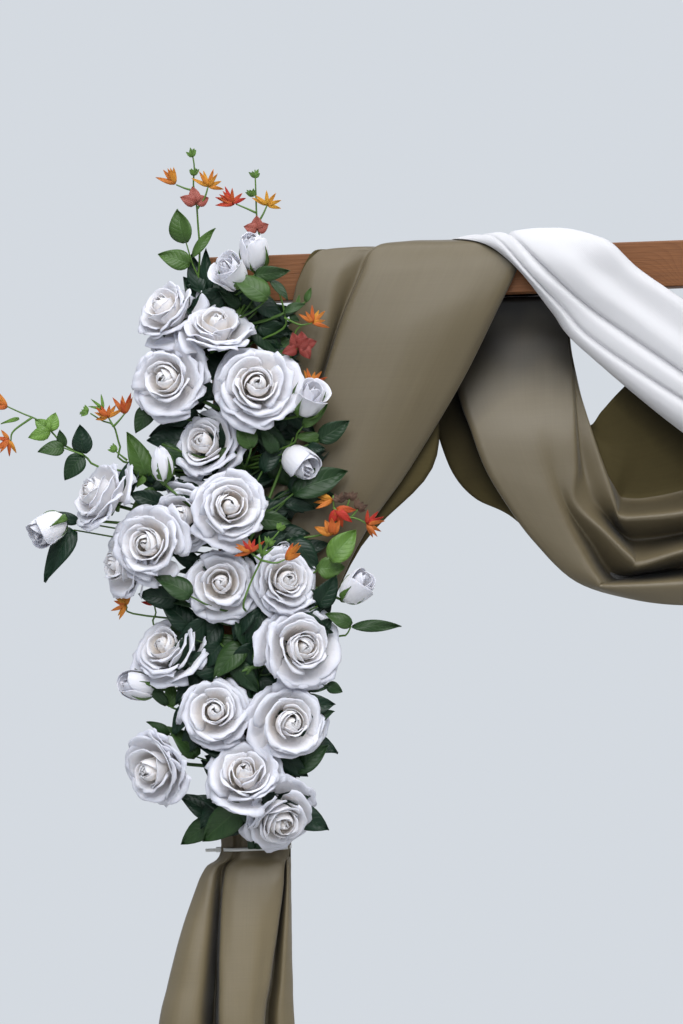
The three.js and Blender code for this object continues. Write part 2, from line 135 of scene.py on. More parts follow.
floor_mesh = bmesh.new()
bmesh.ops.create_circle(floor_mesh, cap_ends=True, segments=FLOOR_SIDES, radius=FLOOR_RADIUS)
floor_data = bpy.data.meshes.new("floor")
floor_mesh.to_mesh(floor_data)
floor_mesh.free()
floor = bpy.data.objects.new("floor", floor_data)
bpy.context.scene.collection.objects.link(floor)
floor_paint = bpy.data.materials.new("floor")
floor_paint.use_nodes = True
floor_shader = floor_paint.node_tree.nodes["Principled BSDF"]
floor_shader.inputs["Base Color"].default_value = FLOOR_GREY
floor_shader.inputs["Roughness"].default_value = FLOOR_ROUGH
floor_data.materials.append(floor_paint)
print("floor radius", FLOOR_RADIUS)

# %% Lamps
LAMPS = {
    "overhead": ((0.4, -2.6, 6.2), 4.4, 190, (1.0, 0.99, 0.98)),
    "front": ((-1.6, -6.4, 6.2), 4.4, 270, (0.97, 0.98, 1.0)),
    "back": ((2.5, 6.0, 4.5), 4.0, 90, (0.95, 0.98, 1.0)),
}  # place, width in metres, power in watts, colour
AIM = Vector((-0.4, 0, 1.6))  # all of them point here


def lamp(name, place, size, power, colour):
    data = bpy.data.lights.new(name, "AREA")
    data.size = size
    data.energy = power
    data.color = colour
    made = bpy.data.objects.new(name, data)
    made.location = place
    made.rotation_euler = (AIM - Vector(place)).to_track_quat("-Z", "Y").to_euler()
    bpy.context.scene.collection.objects.link(made)


for name, (place, size, power, colour) in LAMPS.items():
    lamp(name, place, size, power, colour)
print("lamps:", ", ".join(LAMPS))

# %% Surroundings
AIR_SEEN = (0.66, 0.70, 0.75, 1)
AIR_LIGHT = (0.64, 0.68, 0.76, 1)
AIR_LOW = 0.36  # how strong it is at the horizon
AIR_HIGH = 1.05  # and overhead
HORIZON = -0.05  # a direction's climb goes from -1, straight down, to 1, straight up; this counts as level
OVERHEAD = 0.9  # and this as overhead

world = bpy.data.worlds.new("air")
world.use_nodes = True
bpy.context.scene.world = world
air = world.node_tree
air.nodes.clear()
seen = air.nodes.new("ShaderNodeBackground")
seen.inputs["Color"].default_value = AIR_SEEN
heading = air.nodes.new("ShaderNodeTexCoord")
climb = air.nodes.new("ShaderNodeSeparateXYZ")
brightness = air.nodes.new("ShaderNodeMapRange")
brightness.inputs["From Min"].default_value = HORIZON
brightness.inputs["From Max"].default_value = OVERHEAD
brightness.inputs["To Min"].default_value = AIR_LOW
brightness.inputs["To Max"].default_value = AIR_HIGH
given = air.nodes.new("ShaderNodeBackground")
given.inputs["Color"].default_value = AIR_LIGHT
path = air.nodes.new("ShaderNodeLightPath")
either = air.nodes.new("ShaderNodeMixShader")
out = air.nodes.new("ShaderNodeOutputWorld")
air.links.new(heading.outputs["Generated"], climb.inputs[0])
air.links.new(climb.outputs["Z"], brightness.inputs["Value"])
air.links.new(brightness.outputs[0], given.inputs["Strength"])
air.links.new(path.outputs["Is Camera Ray"], either.inputs[0])
air.links.new(given.outputs[0], either.inputs[1])
air.links.new(seen.outputs[0], either.inputs[2])
air.links.new(either.outputs[0], out.inputs["Surface"])
bpy.context.scene.view_settings.view_transform = "Standard"
print("surroundings from", AIR_LOW, "to", AIR_HIGH)

# %% [markdown]
# ## Shader groups
# Some effects are used by more than one finish: slow variation of colour, the weave of a cloth, and grain.
# Each is made once as a node group, a small machine with named inputs and outputs, and every finish that
# uses it sets its own values. A short helper class keeps the wiring readable.

# %% A helper for wiring nodes
MIX_SHARE = 0  # the sockets of the Mix node that belong to colours
MIX_FIRST = 6
MIX_SECOND = 7
MIX_RESULT = 2


class Wiring:
    """Adds nodes to one node tree and links them."""

    def __init__(self, tree):
        self.tree = tree

    def add(self, kind, settings=None, **inputs):
        node = self.tree.nodes.new("ShaderNode" + kind)
        for key, value in (settings or {}).items():
            setattr(node, key, value)
        for key, value in inputs.items():
            self.feed(node, key.replace("_", " "), value)
        return node

    def feed(self, node, socket, value):
        target = node.inputs[socket]
        if isinstance(value, bpy.types.NodeSocket):
            self.tree.links.new(value, target)
        else:
            target.default_value = value

    def maths(self, operation, *values, clamp=False):
        node = self.tree.nodes.new("ShaderNodeMath")
        node.operation = operation
        node.use_clamp = clamp
        for index, value in enumerate(values):
            self.feed(node, index, value)
        return node.outputs[0]

    def blend(self, share, first, second, mode="MIX"):
        node = self.tree.nodes.new("ShaderNodeMix")
        node.data_type = "RGBA"
        node.blend_type = mode
        for socket, value in ((MIX_SHARE, share), (MIX_FIRST, first), (MIX_SECOND, second)):
            self.feed(node, socket, value)
        return node.outputs[MIX_RESULT]

    def spread(self, value, low, high, to_low=0.0, to_high=1.0):
        node = self.tree.nodes.new("ShaderNodeMapRange")
        for index, item in enumerate((value, low, high, to_low, to_high)):
            self.feed(node, index, item)
        return node.outputs[0]

    def stretched(self, vector, scale):
        node = self.tree.nodes.new("ShaderNodeMapping")
        self.feed(node, "Vector", vector)
        node.inputs["Scale"].default_value = scale
        return node.outputs[0]


def group(name, inputs, outputs):
    """An empty node group with typed sockets, its wiring, and the sockets inside it."""
    tree = bpy.data.node_groups.new(name, "ShaderNodeTree")
    for socket, (kind, value) in inputs.items():
        made = tree.interface.new_socket(socket, in_out="INPUT", socket_type="NodeSocket" + kind)
        if value is not None:
            made.default_value = value
    for socket, kind in outputs.items():
        tree.interface.new_socket(socket, in_out="OUTPUT", socket_type="NodeSocket" + kind)
    entry = tree.nodes.new("NodeGroupInput")
    leave = tree.nodes.new("NodeGroupOutput")
    return tree, Wiring(tree), entry.outputs, leave.inputs


print("wiring helper ready")

# %% [markdown]
# ### Slow variation
# Cloth, petals and leaves are never one even colour. A picture of cloth could bring that in, but it would
# blur up close. Noise needs no picture and stays sharp, so this group turns it into a value that wanders
# around 1.

# %% Group: slow variation
variation, w, given_in, to_out = group(
    "slow variation",
    {"Vector": ("Vector", None), "Scale": ("Float", 6.0), "Amount": ("Float", 0.1)},
    {"Factor": "Float"},
)
wide = w.add("TexNoise", Vector=given_in["Vector"], Scale=given_in["Scale"], Detail=3.0)
centred = w.maths("SUBTRACT", wide.outputs[0], 0.5)
scaled = w.maths("MULTIPLY", centred, given_in["Amount"])
doubled = w.maths("MULTIPLY", scaled, 2.0)
w.tree.links.new(w.maths("ADD", doubled, 1.0), to_out["Factor"])
print("group:", variation.name)

# %% [markdown]
# ### Weave
# A weave is two sets of threads that cross. As real threads they would need millions of faces. The cloth's
# UV map is in metres along its threads, so a wave with the threads' spacing gives each set, and slubs,
# which are thick places in a thread, run along them.

# %% Group: woven cloth
RIDGE_HEIGHT = 0.3  # how high the leaning ridges of the twill stand beside the threads that cross them
CROSS_HEIGHT = 0.12
WARP_SLUBS = (420, 5, 1)  # slubs to the metre across a thread and along it
WEFT_SLUBS = (7, 520, 1)

weave, w, given_in, to_out = group(
    "weave",
    {
        "Vector": ("Vector", None),
        "Threads per metre": ("Float", 1500.0),
        "Twill": ("Float", 0.5),
        "Slub": ("Float", 0.5),
    },
    {"Height": "Float", "Shade": "Float"},
)
parts = w.add("SeparateXYZ", Vector=given_in["Vector"])
warp = w.maths("MULTIPLY", parts.outputs[0], given_in["Threads per metre"])
weft = w.maths("MULTIPLY", parts.outputs[1], given_in["Threads per metre"])
leaning = w.maths("ADD", warp, w.maths("MULTIPLY", weft, given_in["Twill"]))
ridge = w.maths("SINE", w.maths("MULTIPLY", leaning, 2 * math.pi))
cross = w.maths("SINE", w.maths("MULTIPLY", weft, 2 * math.pi))
woven = w.maths("ADD", w.maths("MULTIPLY", ridge, RIDGE_HEIGHT), w.maths("MULTIPLY", cross, CROSS_HEIGHT))
along = w.add("TexNoise", Vector=w.stretched(given_in["Vector"], WARP_SLUBS), Scale=1.0, Detail=2.0)
thwart = w.add("TexNoise", Vector=w.stretched(given_in["Vector"], WEFT_SLUBS), Scale=1.0, Detail=2.0)
along_warp = w.maths("SUBTRACT", along.outputs[0], 0.5)
slub = w.maths("ADD", along_warp, w.maths("SUBTRACT", thwart.outputs[0], 0.5))
slub = w.maths("MULTIPLY", slub, given_in["Slub"])
w.tree.links.new(w.maths("ADD", woven, slub), to_out["Height"])
w.tree.links.new(w.maths("ADD", slub, 1.0), to_out["Shade"])
print("group:", weave.name)

# %% [markdown]
# ### Timber grain
# Sawn timber shows slices of a tree's growth rings. They are modelled as they grew: the distance from the
# heart of the trunk, which lies beside the board, is bent by noise and cut into rings. Fine fibres, knots
# and drying cracks are added in the same solid way, so they run on round every edge.

# %% Group: timber grain
SLOW_BENDS = (9, 9, 1.3)  # to the metre across the grain, across it, and along it, here and below
KNOT_SPACING = (4.2, 0.7, 3.1)
FIBRES = (900, 900, 14)
CRACKS = (55, 55, 1.6)
CRACK_PLACES = (6, 6, 2.5)
BEND_DEPTH = 0.035  # metres by which the rings wander
KNOT_DEPTH = 0.05  # and by which they swerve round a knot
KNOT_SWERVE = (0.03, 0.26)  # distances from a knot's middle between which the swerve fades, in cells
KNOT_CORE = (0.035, 0.06)  # and between which its dark wood ends
CRACK_WIDTH = 0.006
CRACKED = (0.56, 0.64)  # the noise above which a place has cracks, and has all of them

grain, w, given_in, to_out = group(
    "timber grain",
    {
        "Vector": ("Vector", None),
        "Heart": ("Vector", (0.09, 0.05, 0.0)),
        "Rings per metre": ("Float", 170.0),
        "Cracks": ("Float", 1.0),
    },
    {"Ring": "Float", "Fibre": "Float", "Knot": "Float", "Crack": "Float"},
)
moved = w.add("VectorMath", {"operation": "SUBTRACT"})
w.feed(moved, 0, given_in["Vector"])
w.feed(moved, 1, given_in["Heart"])
slow = w.add("TexNoise", Vector=w.stretched(given_in["Vector"], SLOW_BENDS), Scale=1.0, Detail=2.0)
knots = w.add("TexVoronoi", Vector=w.stretched(given_in["Vector"], KNOT_SPACING), Scale=1.0)
near = w.spread(knots.outputs["Distance"], *KNOT_SWERVE, 1.0, 0.0)
near = w.maths("POWER", near, 2.0)
spokes = w.add("SeparateXYZ", Vector=moved.outputs[0])
radius = w.maths(
    "SQRT",
    w.maths(
        "ADD",
        w.maths("POWER", spokes.outputs[0], 2.0),
        w.maths("POWER", spokes.outputs[1], 2.0),
    ),
)
radius = w.maths("ADD", radius, w.maths("MULTIPLY", slow.outputs[0], BEND_DEPTH))
radius = w.maths("ADD", radius, w.maths("MULTIPLY", near, KNOT_DEPTH))
turns = w.maths("FRACT", w.maths("MULTIPLY", radius, given_in["Rings per metre"]))
late = w.maths("POWER", turns, 3.0)
fibre = w.add("TexNoise", Vector=w.stretched(given_in["Vector"], FIBRES), Scale=1.0, Detail=3.0)
dark = w.spread(knots.outputs["Distance"], *KNOT_CORE, 1.0, 0.0)
split = w.add("TexNoise", Vector=w.stretched(given_in["Vector"], CRACKS), Scale=1.0, Detail=4.0)
thin = w.maths("ABSOLUTE", w.maths("SUBTRACT", split.outputs[0], 0.5))
crack = w.spread(thin, 0.0, CRACK_WIDTH, 1.0, 0.0)
rare = w.add("TexNoise", Vector=w.stretched(given_in["Vector"], CRACK_PLACES), Scale=1.0, Detail=0.0)
crack = w.maths("MULTIPLY", crack, w.spread(rare.outputs[0], *CRACKED))
w.tree.links.new(late, to_out["Ring"])
w.tree.links.new(fibre.outputs[0], to_out["Fibre"])
w.tree.links.new(dark, to_out["Knot"])
w.tree.links.new(w.maths("MULTIPLY", crack, given_in["Cracks"]), to_out["Crack"])
print("group:", grain.name)

# %% [markdown]
# ## Finishes
# Each finish is a Principled shader. What is the same all over a surface, such as how much a satin shines,
# is set on the shader itself. What varies over it comes from the groups.

# %% A new finish


def finish(name, roughness, **settings):
    """A material with its wiring and its Principled shader, with settings that are the same all over."""
    made = bpy.data.materials.new(name)
    made.use_nodes = True
    shader = made.node_tree.nodes["Principled BSDF"]
    shader.inputs["Roughness"].default_value = roughness
    for key, value in settings.items():
        shader.inputs[key.replace("_", " ")].default_value = value
    return made, Wiring(made.node_tree), shader


def use(wiring, tree, **inputs):
    """Places a node group in a material."""
    node = wiring.tree.nodes.new("ShaderNodeGroup")
    node.node_tree = tree
    for key, value in inputs.items():
        wiring.feed(node, key.replace("_", " "), value)
    return node


def bump(wiring, shader, height, distance, strength=1.0):
    node = wiring.add("Bump", Height=height, Distance=distance, Strength=strength)
    wiring.feed(shader, "Normal", node.outputs[0])


print("finishes follow")

# %% [markdown]
# ### Oiled timber
# The oil has warmed the pine to an orange brown. Late wood in each ring is darker, knots darker still. The
# grain has to run along each board, so one function makes a finish for each direction.

# %% Oiled timber
EARLY_WOOD = (0.20, 0.078, 0.026, 1)
LATE_WOOD = (0.115, 0.040, 0.013, 1)
KNOT_WOOD = (0.07, 0.025, 0.012, 1)
CRACK_DARK = (0.02, 0.009, 0.005, 1)
RINGS_SHOW = 0.3  # how much of the late wood's and the knots' own colour shows through the oil
KNOTS_SHOW = 0.9
STREAKS = (0.78, 1.18)  # how dark and how light the fibres make it


def timber(name, turn, shift):
    """Oiled timber whose grain runs along Z once its pattern is turned."""
    made, w, shader = finish(name, 0.55, Specular_IOR_Level=0.35)
    place = w.add("TexCoord")
    turned = w.add("Mapping", Vector=place.outputs["Object"])
    turned.inputs["Rotation"].default_value = turn
    turned.inputs["Location"].default_value = shift
    board = use(w, grain, Vector=turned.outputs[0])
    patchy = use(w, variation, Vector=turned.outputs[0], Scale=3.0, Amount=0.22)
    colour = w.blend(w.maths("MULTIPLY", board.outputs["Ring"], RINGS_SHOW), EARLY_WOOD, LATE_WOOD)
    streak = w.spread(board.outputs["Fibre"], 0.3, 0.7, *STREAKS)
    streak = w.maths("MULTIPLY", streak, patchy.outputs[0])
    colour = w.blend(1.0, colour, w.add("CombineXYZ", X=streak, Y=streak, Z=streak).outputs[0], "MULTIPLY")
    colour = w.blend(w.maths("MULTIPLY", board.outputs["Knot"], KNOTS_SHOW), colour, KNOT_WOOD)
    colour = w.blend(board.outputs["Crack"], colour, CRACK_DARK)
    w.feed(shader, "Base Color", colour)
    w.feed(shader, "Roughness", w.spread(board.outputs["Fibre"], 0.2, 0.8, 0.62, 0.42))
    height = w.maths("ADD", w.maths("MULTIPLY", board.outputs["Ring"], 0.5), board.outputs["Fibre"])
    height = w.maths("SUBTRACT", height, w.maths("MULTIPLY", board.outputs["Crack"], 3.0))
    bump(w, shader, height, 0.0004, 0.7)
    return made


QUARTER = math.pi / 2
timber_upright = timber("timber upright", (0, 0, 0), (0.31, 0.12, 0.0))
timber_level = timber("timber level", (0, QUARTER, 0), (0.02, 0.23, 0.4))
timber_foot = timber("timber foot", (QUARTER, 0, 0), (0.4, 0.07, 0.9))
timber_slant = timber("timber slant", (math.radians(-45), 0, 0), (0.2, 0.5, 0.1))
print("finish: timber in four directions")

# %% [markdown]
# ### Sage satin
# The satin is a fine twill. Its face has a soft shine: broad highlights on the folds, and dark hollows
# between them, which are darkened further by painted shade. Its back is matt and more olive, and shows
# wherever the cloth is turned over. A piece can carry several materials, so face and back are two, made by
# one function. Below the tie the tail's colour is painted lighter.

# %% Sage satin
SAGE = (0.143, 0.114, 0.063, 1)
SAGE_DEEP = (0.108, 0.085, 0.045, 1)
OLIVE = (0.082, 0.064, 0.024, 1)
OLIVE_DEEP = (0.060, 0.046, 0.016, 1)
# Painted shade: where a side of the cloth sees little sky, its colour is darkened, most in a deep hollow.
HOLLOW = 0.10  # the share of open sky in a deep hollow
OPEN = 0.62  # and on a part that lies open
HOLLOW_PAINTED_SHADE = 0.03  # how much of its colour is left in a deep hollow
TIE_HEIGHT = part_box("left_tie")[0].z
TAIL_PAINTED_LIGHT = 1.42  # painted light: below the tie the tail's colour is made this much lighter than the fall's
TAIL_PAINTED_LIGHT_FROM = 0.09  # metres below the tie where it is as pale as that


def twill(name, light, deep, rough, relief, openness, **settings):
    """One side of the satin: its weave shades it, roughens it and stands out by relief in metres. openness
    is the attribute that says how much sky this side sees."""
    made, w, shader = finish(name, rough, **settings)
    threads = w.add("TexCoord").outputs["UV"]
    woven = use(w, weave, Vector=threads, Threads_per_metre=1600.0, Twill=1.0, Slub=0.16)
    mottled = use(w, variation, Vector=threads, Scale=5.0, Amount=0.35)
    tone = w.blend(w.maths("SUBTRACT", 1.3, mottled.outputs[0], clamp=True), light, deep)
    shade = woven.outputs["Shade"]
    # Painted shade: the colour is darkened by how little sky this side sees.
    sky = w.add("Attribute", {"attribute_name": openness}).outputs["Fac"]
    shade = w.maths("MULTIPLY", shade, w.spread(sky, HOLLOW, OPEN, HOLLOW_PAINTED_SHADE, 1.0))
    own = w.add("SeparateXYZ", Vector=w.add("TexCoord").outputs["Object"])
    height = own.outputs["Z"]
    # Painted light: below the tie the colour is made lighter.
    shade = w.maths("MULTIPLY", shade, w.spread(height, TIE_HEIGHT - TAIL_PAINTED_LIGHT_FROM, TIE_HEIGHT, TAIL_PAINTED_LIGHT, 1.0))
    tone = w.blend(1.0, tone, w.add("CombineXYZ", X=shade, Y=shade, Z=shade).outputs[0], "MULTIPLY")
    w.feed(shader, "Base Color", tone)
    w.feed(shader, "Roughness", w.spread(woven.outputs["Height"], -0.5, 0.5, rough - 0.04, rough + 0.04))
    bump(w, shader, woven.outputs["Height"], relief, 0.6)
    return made


sage_satin = twill(
    "sage satin",
    SAGE,
    SAGE_DEEP,
    0.42,
    0.00012,
    "open face",
    Specular_IOR_Level=0.55,
    Sheen_Weight=0.12,
    Sheen_Roughness=0.35,
)
sage_back = twill("sage satin back", OLIVE, OLIVE_DEEP, 0.8, 0.0002, "open back", Specular_IOR_Level=0.2)
print("finish:", sage_satin.name, "and its back")

# %% [markdown]
# ### White crepe
# Crepe is woven from tightly twisted yarn, which leaves a fine pebbled surface and no shine. The pebbles
# are noise on top of the weave. A little light passes into the cloth, which keeps its shadows soft.

# %% White crepe
WHITE = (0.74, 0.735, 0.75, 1)
WHITE_SHADE = (0.67, 0.67, 0.685, 1)

white_crepe, w, shader = finish(
    "white crepe",
    0.85,
    Specular_IOR_Level=0.25,
    Sheen_Weight=0.15,
    Sheen_Roughness=0.6,
    Subsurface_Weight=0.08,
    Subsurface_Radius=(1.0, 0.95, 0.9),
    Subsurface_Scale=0.01,
)
threads = w.add("TexCoord").outputs["UV"]
cloth_weave = use(w, weave, Vector=threads, Threads_per_metre=1100.0, Twill=0.0, Slub=0.1)
mottled = use(w, variation, Vector=threads, Scale=7.0, Amount=0.3)
w.feed(
    shader,
    "Base Color",
    w.blend(w.maths("SUBTRACT", 1.2, mottled.outputs[0], clamp=True), WHITE, WHITE_SHADE),
)
pebble = w.add("TexNoise", Vector=threads, Scale=900.0, Detail=2.0)
height = w.maths("ADD", cloth_weave.outputs["Height"], pebble.outputs[0])
bump(w, shader, height, 0.0003, 0.7)
print("finish:", white_crepe.name)

# %% [markdown]
# ## Timber
# The posts, beam, feet and braces are planed square, with their edges eased by a pass of sandpaper. The
# plain solids have knife edges, which no real timber has and which catch no light. So each is copied, its
# flat faces are joined into whole ones, and its edges are bevelled by two millimetres.

# %% Making a piece from a bmesh
ROOT = "root"


def piece(name, bm, materials, slot, replaced):
    """A new object from a bmesh, which rides on the arch and stands for the solids that it replaces."""
    data = bpy.data.meshes.new(name)
    for face in bm.faces:
        face.smooth = True
    bm.to_mesh(data)
    bm.free()
    for one in materials:
        data.materials.append(one)
    made = bpy.data.objects.new(name, data)
    bpy.context.scene.collection.objects.link(made)
    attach(made, ROOT)
    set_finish(made, slot)
    if replaced:
        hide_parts(*replaced)
    return made


def mirrored(left, replaced):
    """The same piece on the right side of the arch."""
    bm = bmesh.new()
    bm.from_mesh(left.data)
    bmesh.ops.scale(bm, vec=(-1, 1, 1), verts=bm.verts)
    bmesh.ops.reverse_faces(bm, faces=bm.faces)
    name = left.name.replace("left", "right")
    made = piece(name, bm, list(left.data.materials), left["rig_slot"], replaced)
    for modifier in left.modifiers:
        copy = made.modifiers.new(modifier.name, modifier.type)
        for setting in ("thickness", "offset", "material_offset"):
            if hasattr(modifier, setting):
                setattr(copy, setting, getattr(modifier, setting))
    return made


print("pieces ride on", ROOT)

# %% Eased timber
EASE = 0.0022
WELD = 1e-5  # corners nearer than this are one
ONE_FLAT = math.radians(1)  # triangles that meet at less than this belong to one flat face
AN_EDGE = math.radians(20)


def eased(node, material):
    bm = bmesh.new()
    bm.from_mesh(frame["nodes"][node].data)
    bmesh.ops.remove_doubles(bm, verts=bm.verts, dist=WELD)
    bmesh.ops.dissolve_limit(bm, angle_limit=ONE_FLAT, verts=bm.verts, edges=bm.edges)
    corners = [e for e in bm.edges if e.calc_face_angle(0) > AN_EDGE]
    bmesh.ops.bevel(
        bm, geom=corners, offset=EASE, affect="EDGES", segments=2, profile=0.5, material=-1
    )
    made = piece(node + "_planed", bm, [material], "timber", [node])
    keep_flat = made.modifiers.new("flat faces", "WEIGHTED_NORMAL")
    keep_flat.keep_sharp = True
    return made


for side in ("left", "right"):
    eased(side + "_post", timber_upright)
    eased(side + "_foot", timber_foot)
    eased(side + "_back_brace", timber_slant)
eased("beam", timber_level)
print("timber eased by", EASE / MM, "mm")

# %% [markdown]
# ## Cloth from its fold lines
# A drape is read by its folds: each fold is a line that runs down the cloth, standing out or lying back.
# The sheets here are made the same way. Every fold line is a short list of places, and a smooth surface is
# drawn through all of them, like a sail over ropes. Simulated cloth would fall in folds of its own, and
# these folds were arranged by hand and have to lie where they were put.

# %% Smooth places between knots


def through(knots, steps):
    """A smooth curve through knots on the first axis of an array, at a number of even steps."""
    knots = np.asarray(knots, float)
    last = len(knots) - 1
    before = np.concatenate([2 * knots[:1] - knots[1:2], knots[:-1]])
    after = np.concatenate([knots[1:], 2 * knots[-1:] - knots[-2:-1]])
    slope = (after - before) / 2
    at = np.linspace(0, last, steps)
    i = np.minimum(at.astype(int), last - 1)
    f = (at - i).reshape((-1,) + (1,) * (knots.ndim - 1))
    start = (1 + 2 * f) * (1 - f) ** 2 * knots[i] + f * (1 - f) ** 2 * slope[i]
    return start + f * f * (3 - 2 * f) * knots[i + 1] + f * f * (f - 1) * slope[i + 1]


print("curve through three knots:", through([[0], [1], [0]], 5).ravel())

# %% A sheet of cloth from fold lines
CLOTH_THICK = 0.0012
WRINKLES = (22, 4.5)  # wrinkles to the metre across the folds and along them
FINE_WRINKLES = (60, 14)
FINE_SHARE = 0.35


def sheet(name, folds, across, along, flat, wrinkle, crisp, faces, slot, replaced, seed=0.0, turned=()):
    """A thin cloth through fold lines, each a list of (x, y, drop), with fine wrinkles along the folds.
    flat is its width and length in metres. wrinkle is how far the wrinkles stand out, in millimetres.
    crisp is 0 for round folds and 1 for sharp creases with flat cloth between them. faces are the finishes
    on the side that the cloth's normals point to and on the other. turned lists where it is turned over:
    from one fold line to another, and from one share of the length to another."""
    at = np.linspace(0, len(folds) - 1, across)
    fold = np.minimum(at.astype(int), len(folds) - 2)
    past = (at - fold)[:, None, None]
    taut = np.asarray(folds, float)
    taut = taut[fold] * (1 - past) + taut[fold + 1] * past
    round_folds = through(folds, across)
    net = through((round_folds + (taut - round_folds) * crisp).transpose(1, 0, 2), along)
    bm = bmesh.new()
    made = bmesh.ops.create_grid(bm, x_segments=across - 1, y_segments=along - 1, size=0.5)
    threads = bm.loops.layers.uv.new("threads")
    shares = {}  # for each vertex, its share of the way across and along the cloth
    for v in made["verts"]:
        s = v.co.y + 0.5
        t = v.co.x + 0.5
        shares[v] = (t, s)
        v.co = spot(*net[round(s * (along - 1)), round(t * (across - 1))])
    for face in bm.faces:
        for loop in face.loops:
            t, s = shares[loop.vert]
            loop[threads].uv = (t * flat[0], s * flat[1])
        t, s = np.mean([shares[v] for v in face.verts], axis=0)
        line = t * (len(folds) - 1)
        face.material_index = int(any(a < line < b and low < s < high for a, b, low, high in turned))
    bm.normal_update()
    for v, (t, s) in shares.items():
        a = t * flat[0]
        b = s * flat[1]
        wide = noise.noise(Vector((a * WRINKLES[0], b * WRINKLES[1], seed)))
        fine = noise.noise(Vector((a * FINE_WRINKLES[0], b * FINE_WRINKLES[1], seed + 9)))
        v.co += v.normal * (wide + FINE_SHARE * fine) * wrinkle * MM
    area = sum(face.calc_area() for face in bm.faces)
    cloth = piece(name, bm, [faces[0], faces[1], faces[0]], slot, replaced)
    body = cloth.modifiers.new("cloth thickness", "SOLIDIFY")
    body.thickness = CLOTH_THICK
    body.offset = 0
    body.material_offset = 1
    print(name, "area", round(area, 3), "of a flat", round(flat[0] * flat[1], 3), "square metres")
    return cloth


def lines(drops, *columns):
    """Fold lines from the drops that they share, with each line's x and y at those drops."""
    return [list(zip(xs, ys, drops)) for xs, ys in columns]


# %% [markdown]
# ### Sage fall and tail
# One length of satin comes over the beam, is drawn together at the tie, and hangs in front of the post to
# its foot. Above the tie it has a left part, a deep crease, a broad main panel with a rolled edge, and a
# second layer that shows behind its right edge. Below the tie it has a left panel, a dark valley and a long
# central panel.

# %% Fold lines of the fall
FALL_DROPS = (765, 682, 560, 387, 285, 185, 90, 35)
fall_folds = lines(
    FALL_DROPS,
    ((-20, -22, -20, 12, 40, 58, 78, 90), (-37, -37, -36, -35, -35, -35, -35, -34)),
    ((-40, -44, -28, 8, 34, 50, 72, 85), (-44, -44, -44, -42, -40, -40, -38, -36)),
    ((-34, -36, -16, 20, 50, 72, 96, 104), (-50, -51, -52, -52, -52, -51, -50, -46)),
    ((-26, -26, -4, 34, 66, 94, 122, 134), (-53, -54, -55, -56, -57, -57, -56, -50)),
    ((-20, -16, 6, 46, 80, 104, 136, 158), (-50, -48, -48, -44, -42, -42, -40, -38)),
    ((-16, -12, 10, 50, 84, 107, 140, 164), (-52, -50, -50, -48, -46, -46, -44, -40)),
    ((-13, -9, 13, 54, 88, 110, 143, 168), (-56, -60, -62, -60, -58, -58, -56, -52)),
    ((0, 6, 28, 70, 112, 140, 178, 204), (-54, -55, -57, -59, -62, -65, -66, -57)),
    ((14, 22, 44, 94, 150, 190, 232, 262), (-54, -56, -58, -61, -65, -69, -69, -56)),
    ((28, 36, 56, 118, 184, 236, 286, 318), (-54, -55, -57, -60, -64, -68, -67, -54)),
    ((40, 46, 64, 136, 208, 272, 326, 356), (-52, -53, -54, -55, -57, -58, -58, -48)),
    ((48, 53, 70, 146, 219, 285, 337, 367), (-48, -48, -50, -50, -46, -44, -42, -42)),
    ((44, 48, 62, 134, 205, 272, 324, 352), (-42, -41, -41, -40, -37, -35, -35, -35)),
    ((49, 54, 73, 150, 250, 262, 300, 330), (-38, -38, -38, -36, -31, -30, -33, -33)),
    ((30, 30, 48, 100, 170, 200, 270, 300), (-34, -33, -33, -31, -27, -28, -32, -32)),
)
# Each line then goes over the beam: how far it lies above the timber, and where it ends behind it.
FALL_LIFT = (3, 3, 5, 5, 3, 4, 8, 10, 9, 8, 6, 4, 2.5, 2.0, 1.6)
BEAM_DEPTH = TIMBER / MM
HALF_BEAM = BEAM_DEPTH / 2


def over_beam(front_x, back_x, lift, back_first=False):
    """Places of a fold line that crosses the top of the beam, from its front to the bottom of its back."""
    out = HALF_BEAM + lift
    middle = (front_x + back_x) / 2
    places = [
        (front_x + (middle - front_x) * 0.3, -out - 0.6, 2),
        (front_x + (middle - front_x) * 0.6, -HALF_BEAM + 5, -lift - 1),
        (middle + (back_x - middle) * 0.3, HALF_BEAM - 5, -lift - 1),
        (middle + (back_x - middle) * 0.6, out + 0.6, 3),
        (back_x, out + 0.6, BEAM_DEPTH + 2),
    ]
    return places[::-1] if back_first else places


FALL_BACK = (205, 450)  # its left and right edge behind the beam
front_left = fall_folds[1][-1][0]
front_right = fall_folds[11][-1][0]
for line, lift in zip(fall_folds, FALL_LIFT):
    share = (line[-1][0] - front_left) / (front_right - front_left)
    back = FALL_BACK[0] + share * (FALL_BACK[1] - FALL_BACK[0])
    line.extend(over_beam(line[-1][0], back, lift))
print("fall:", len(fall_folds), "fold lines with", len(fall_folds[0]), "places each")

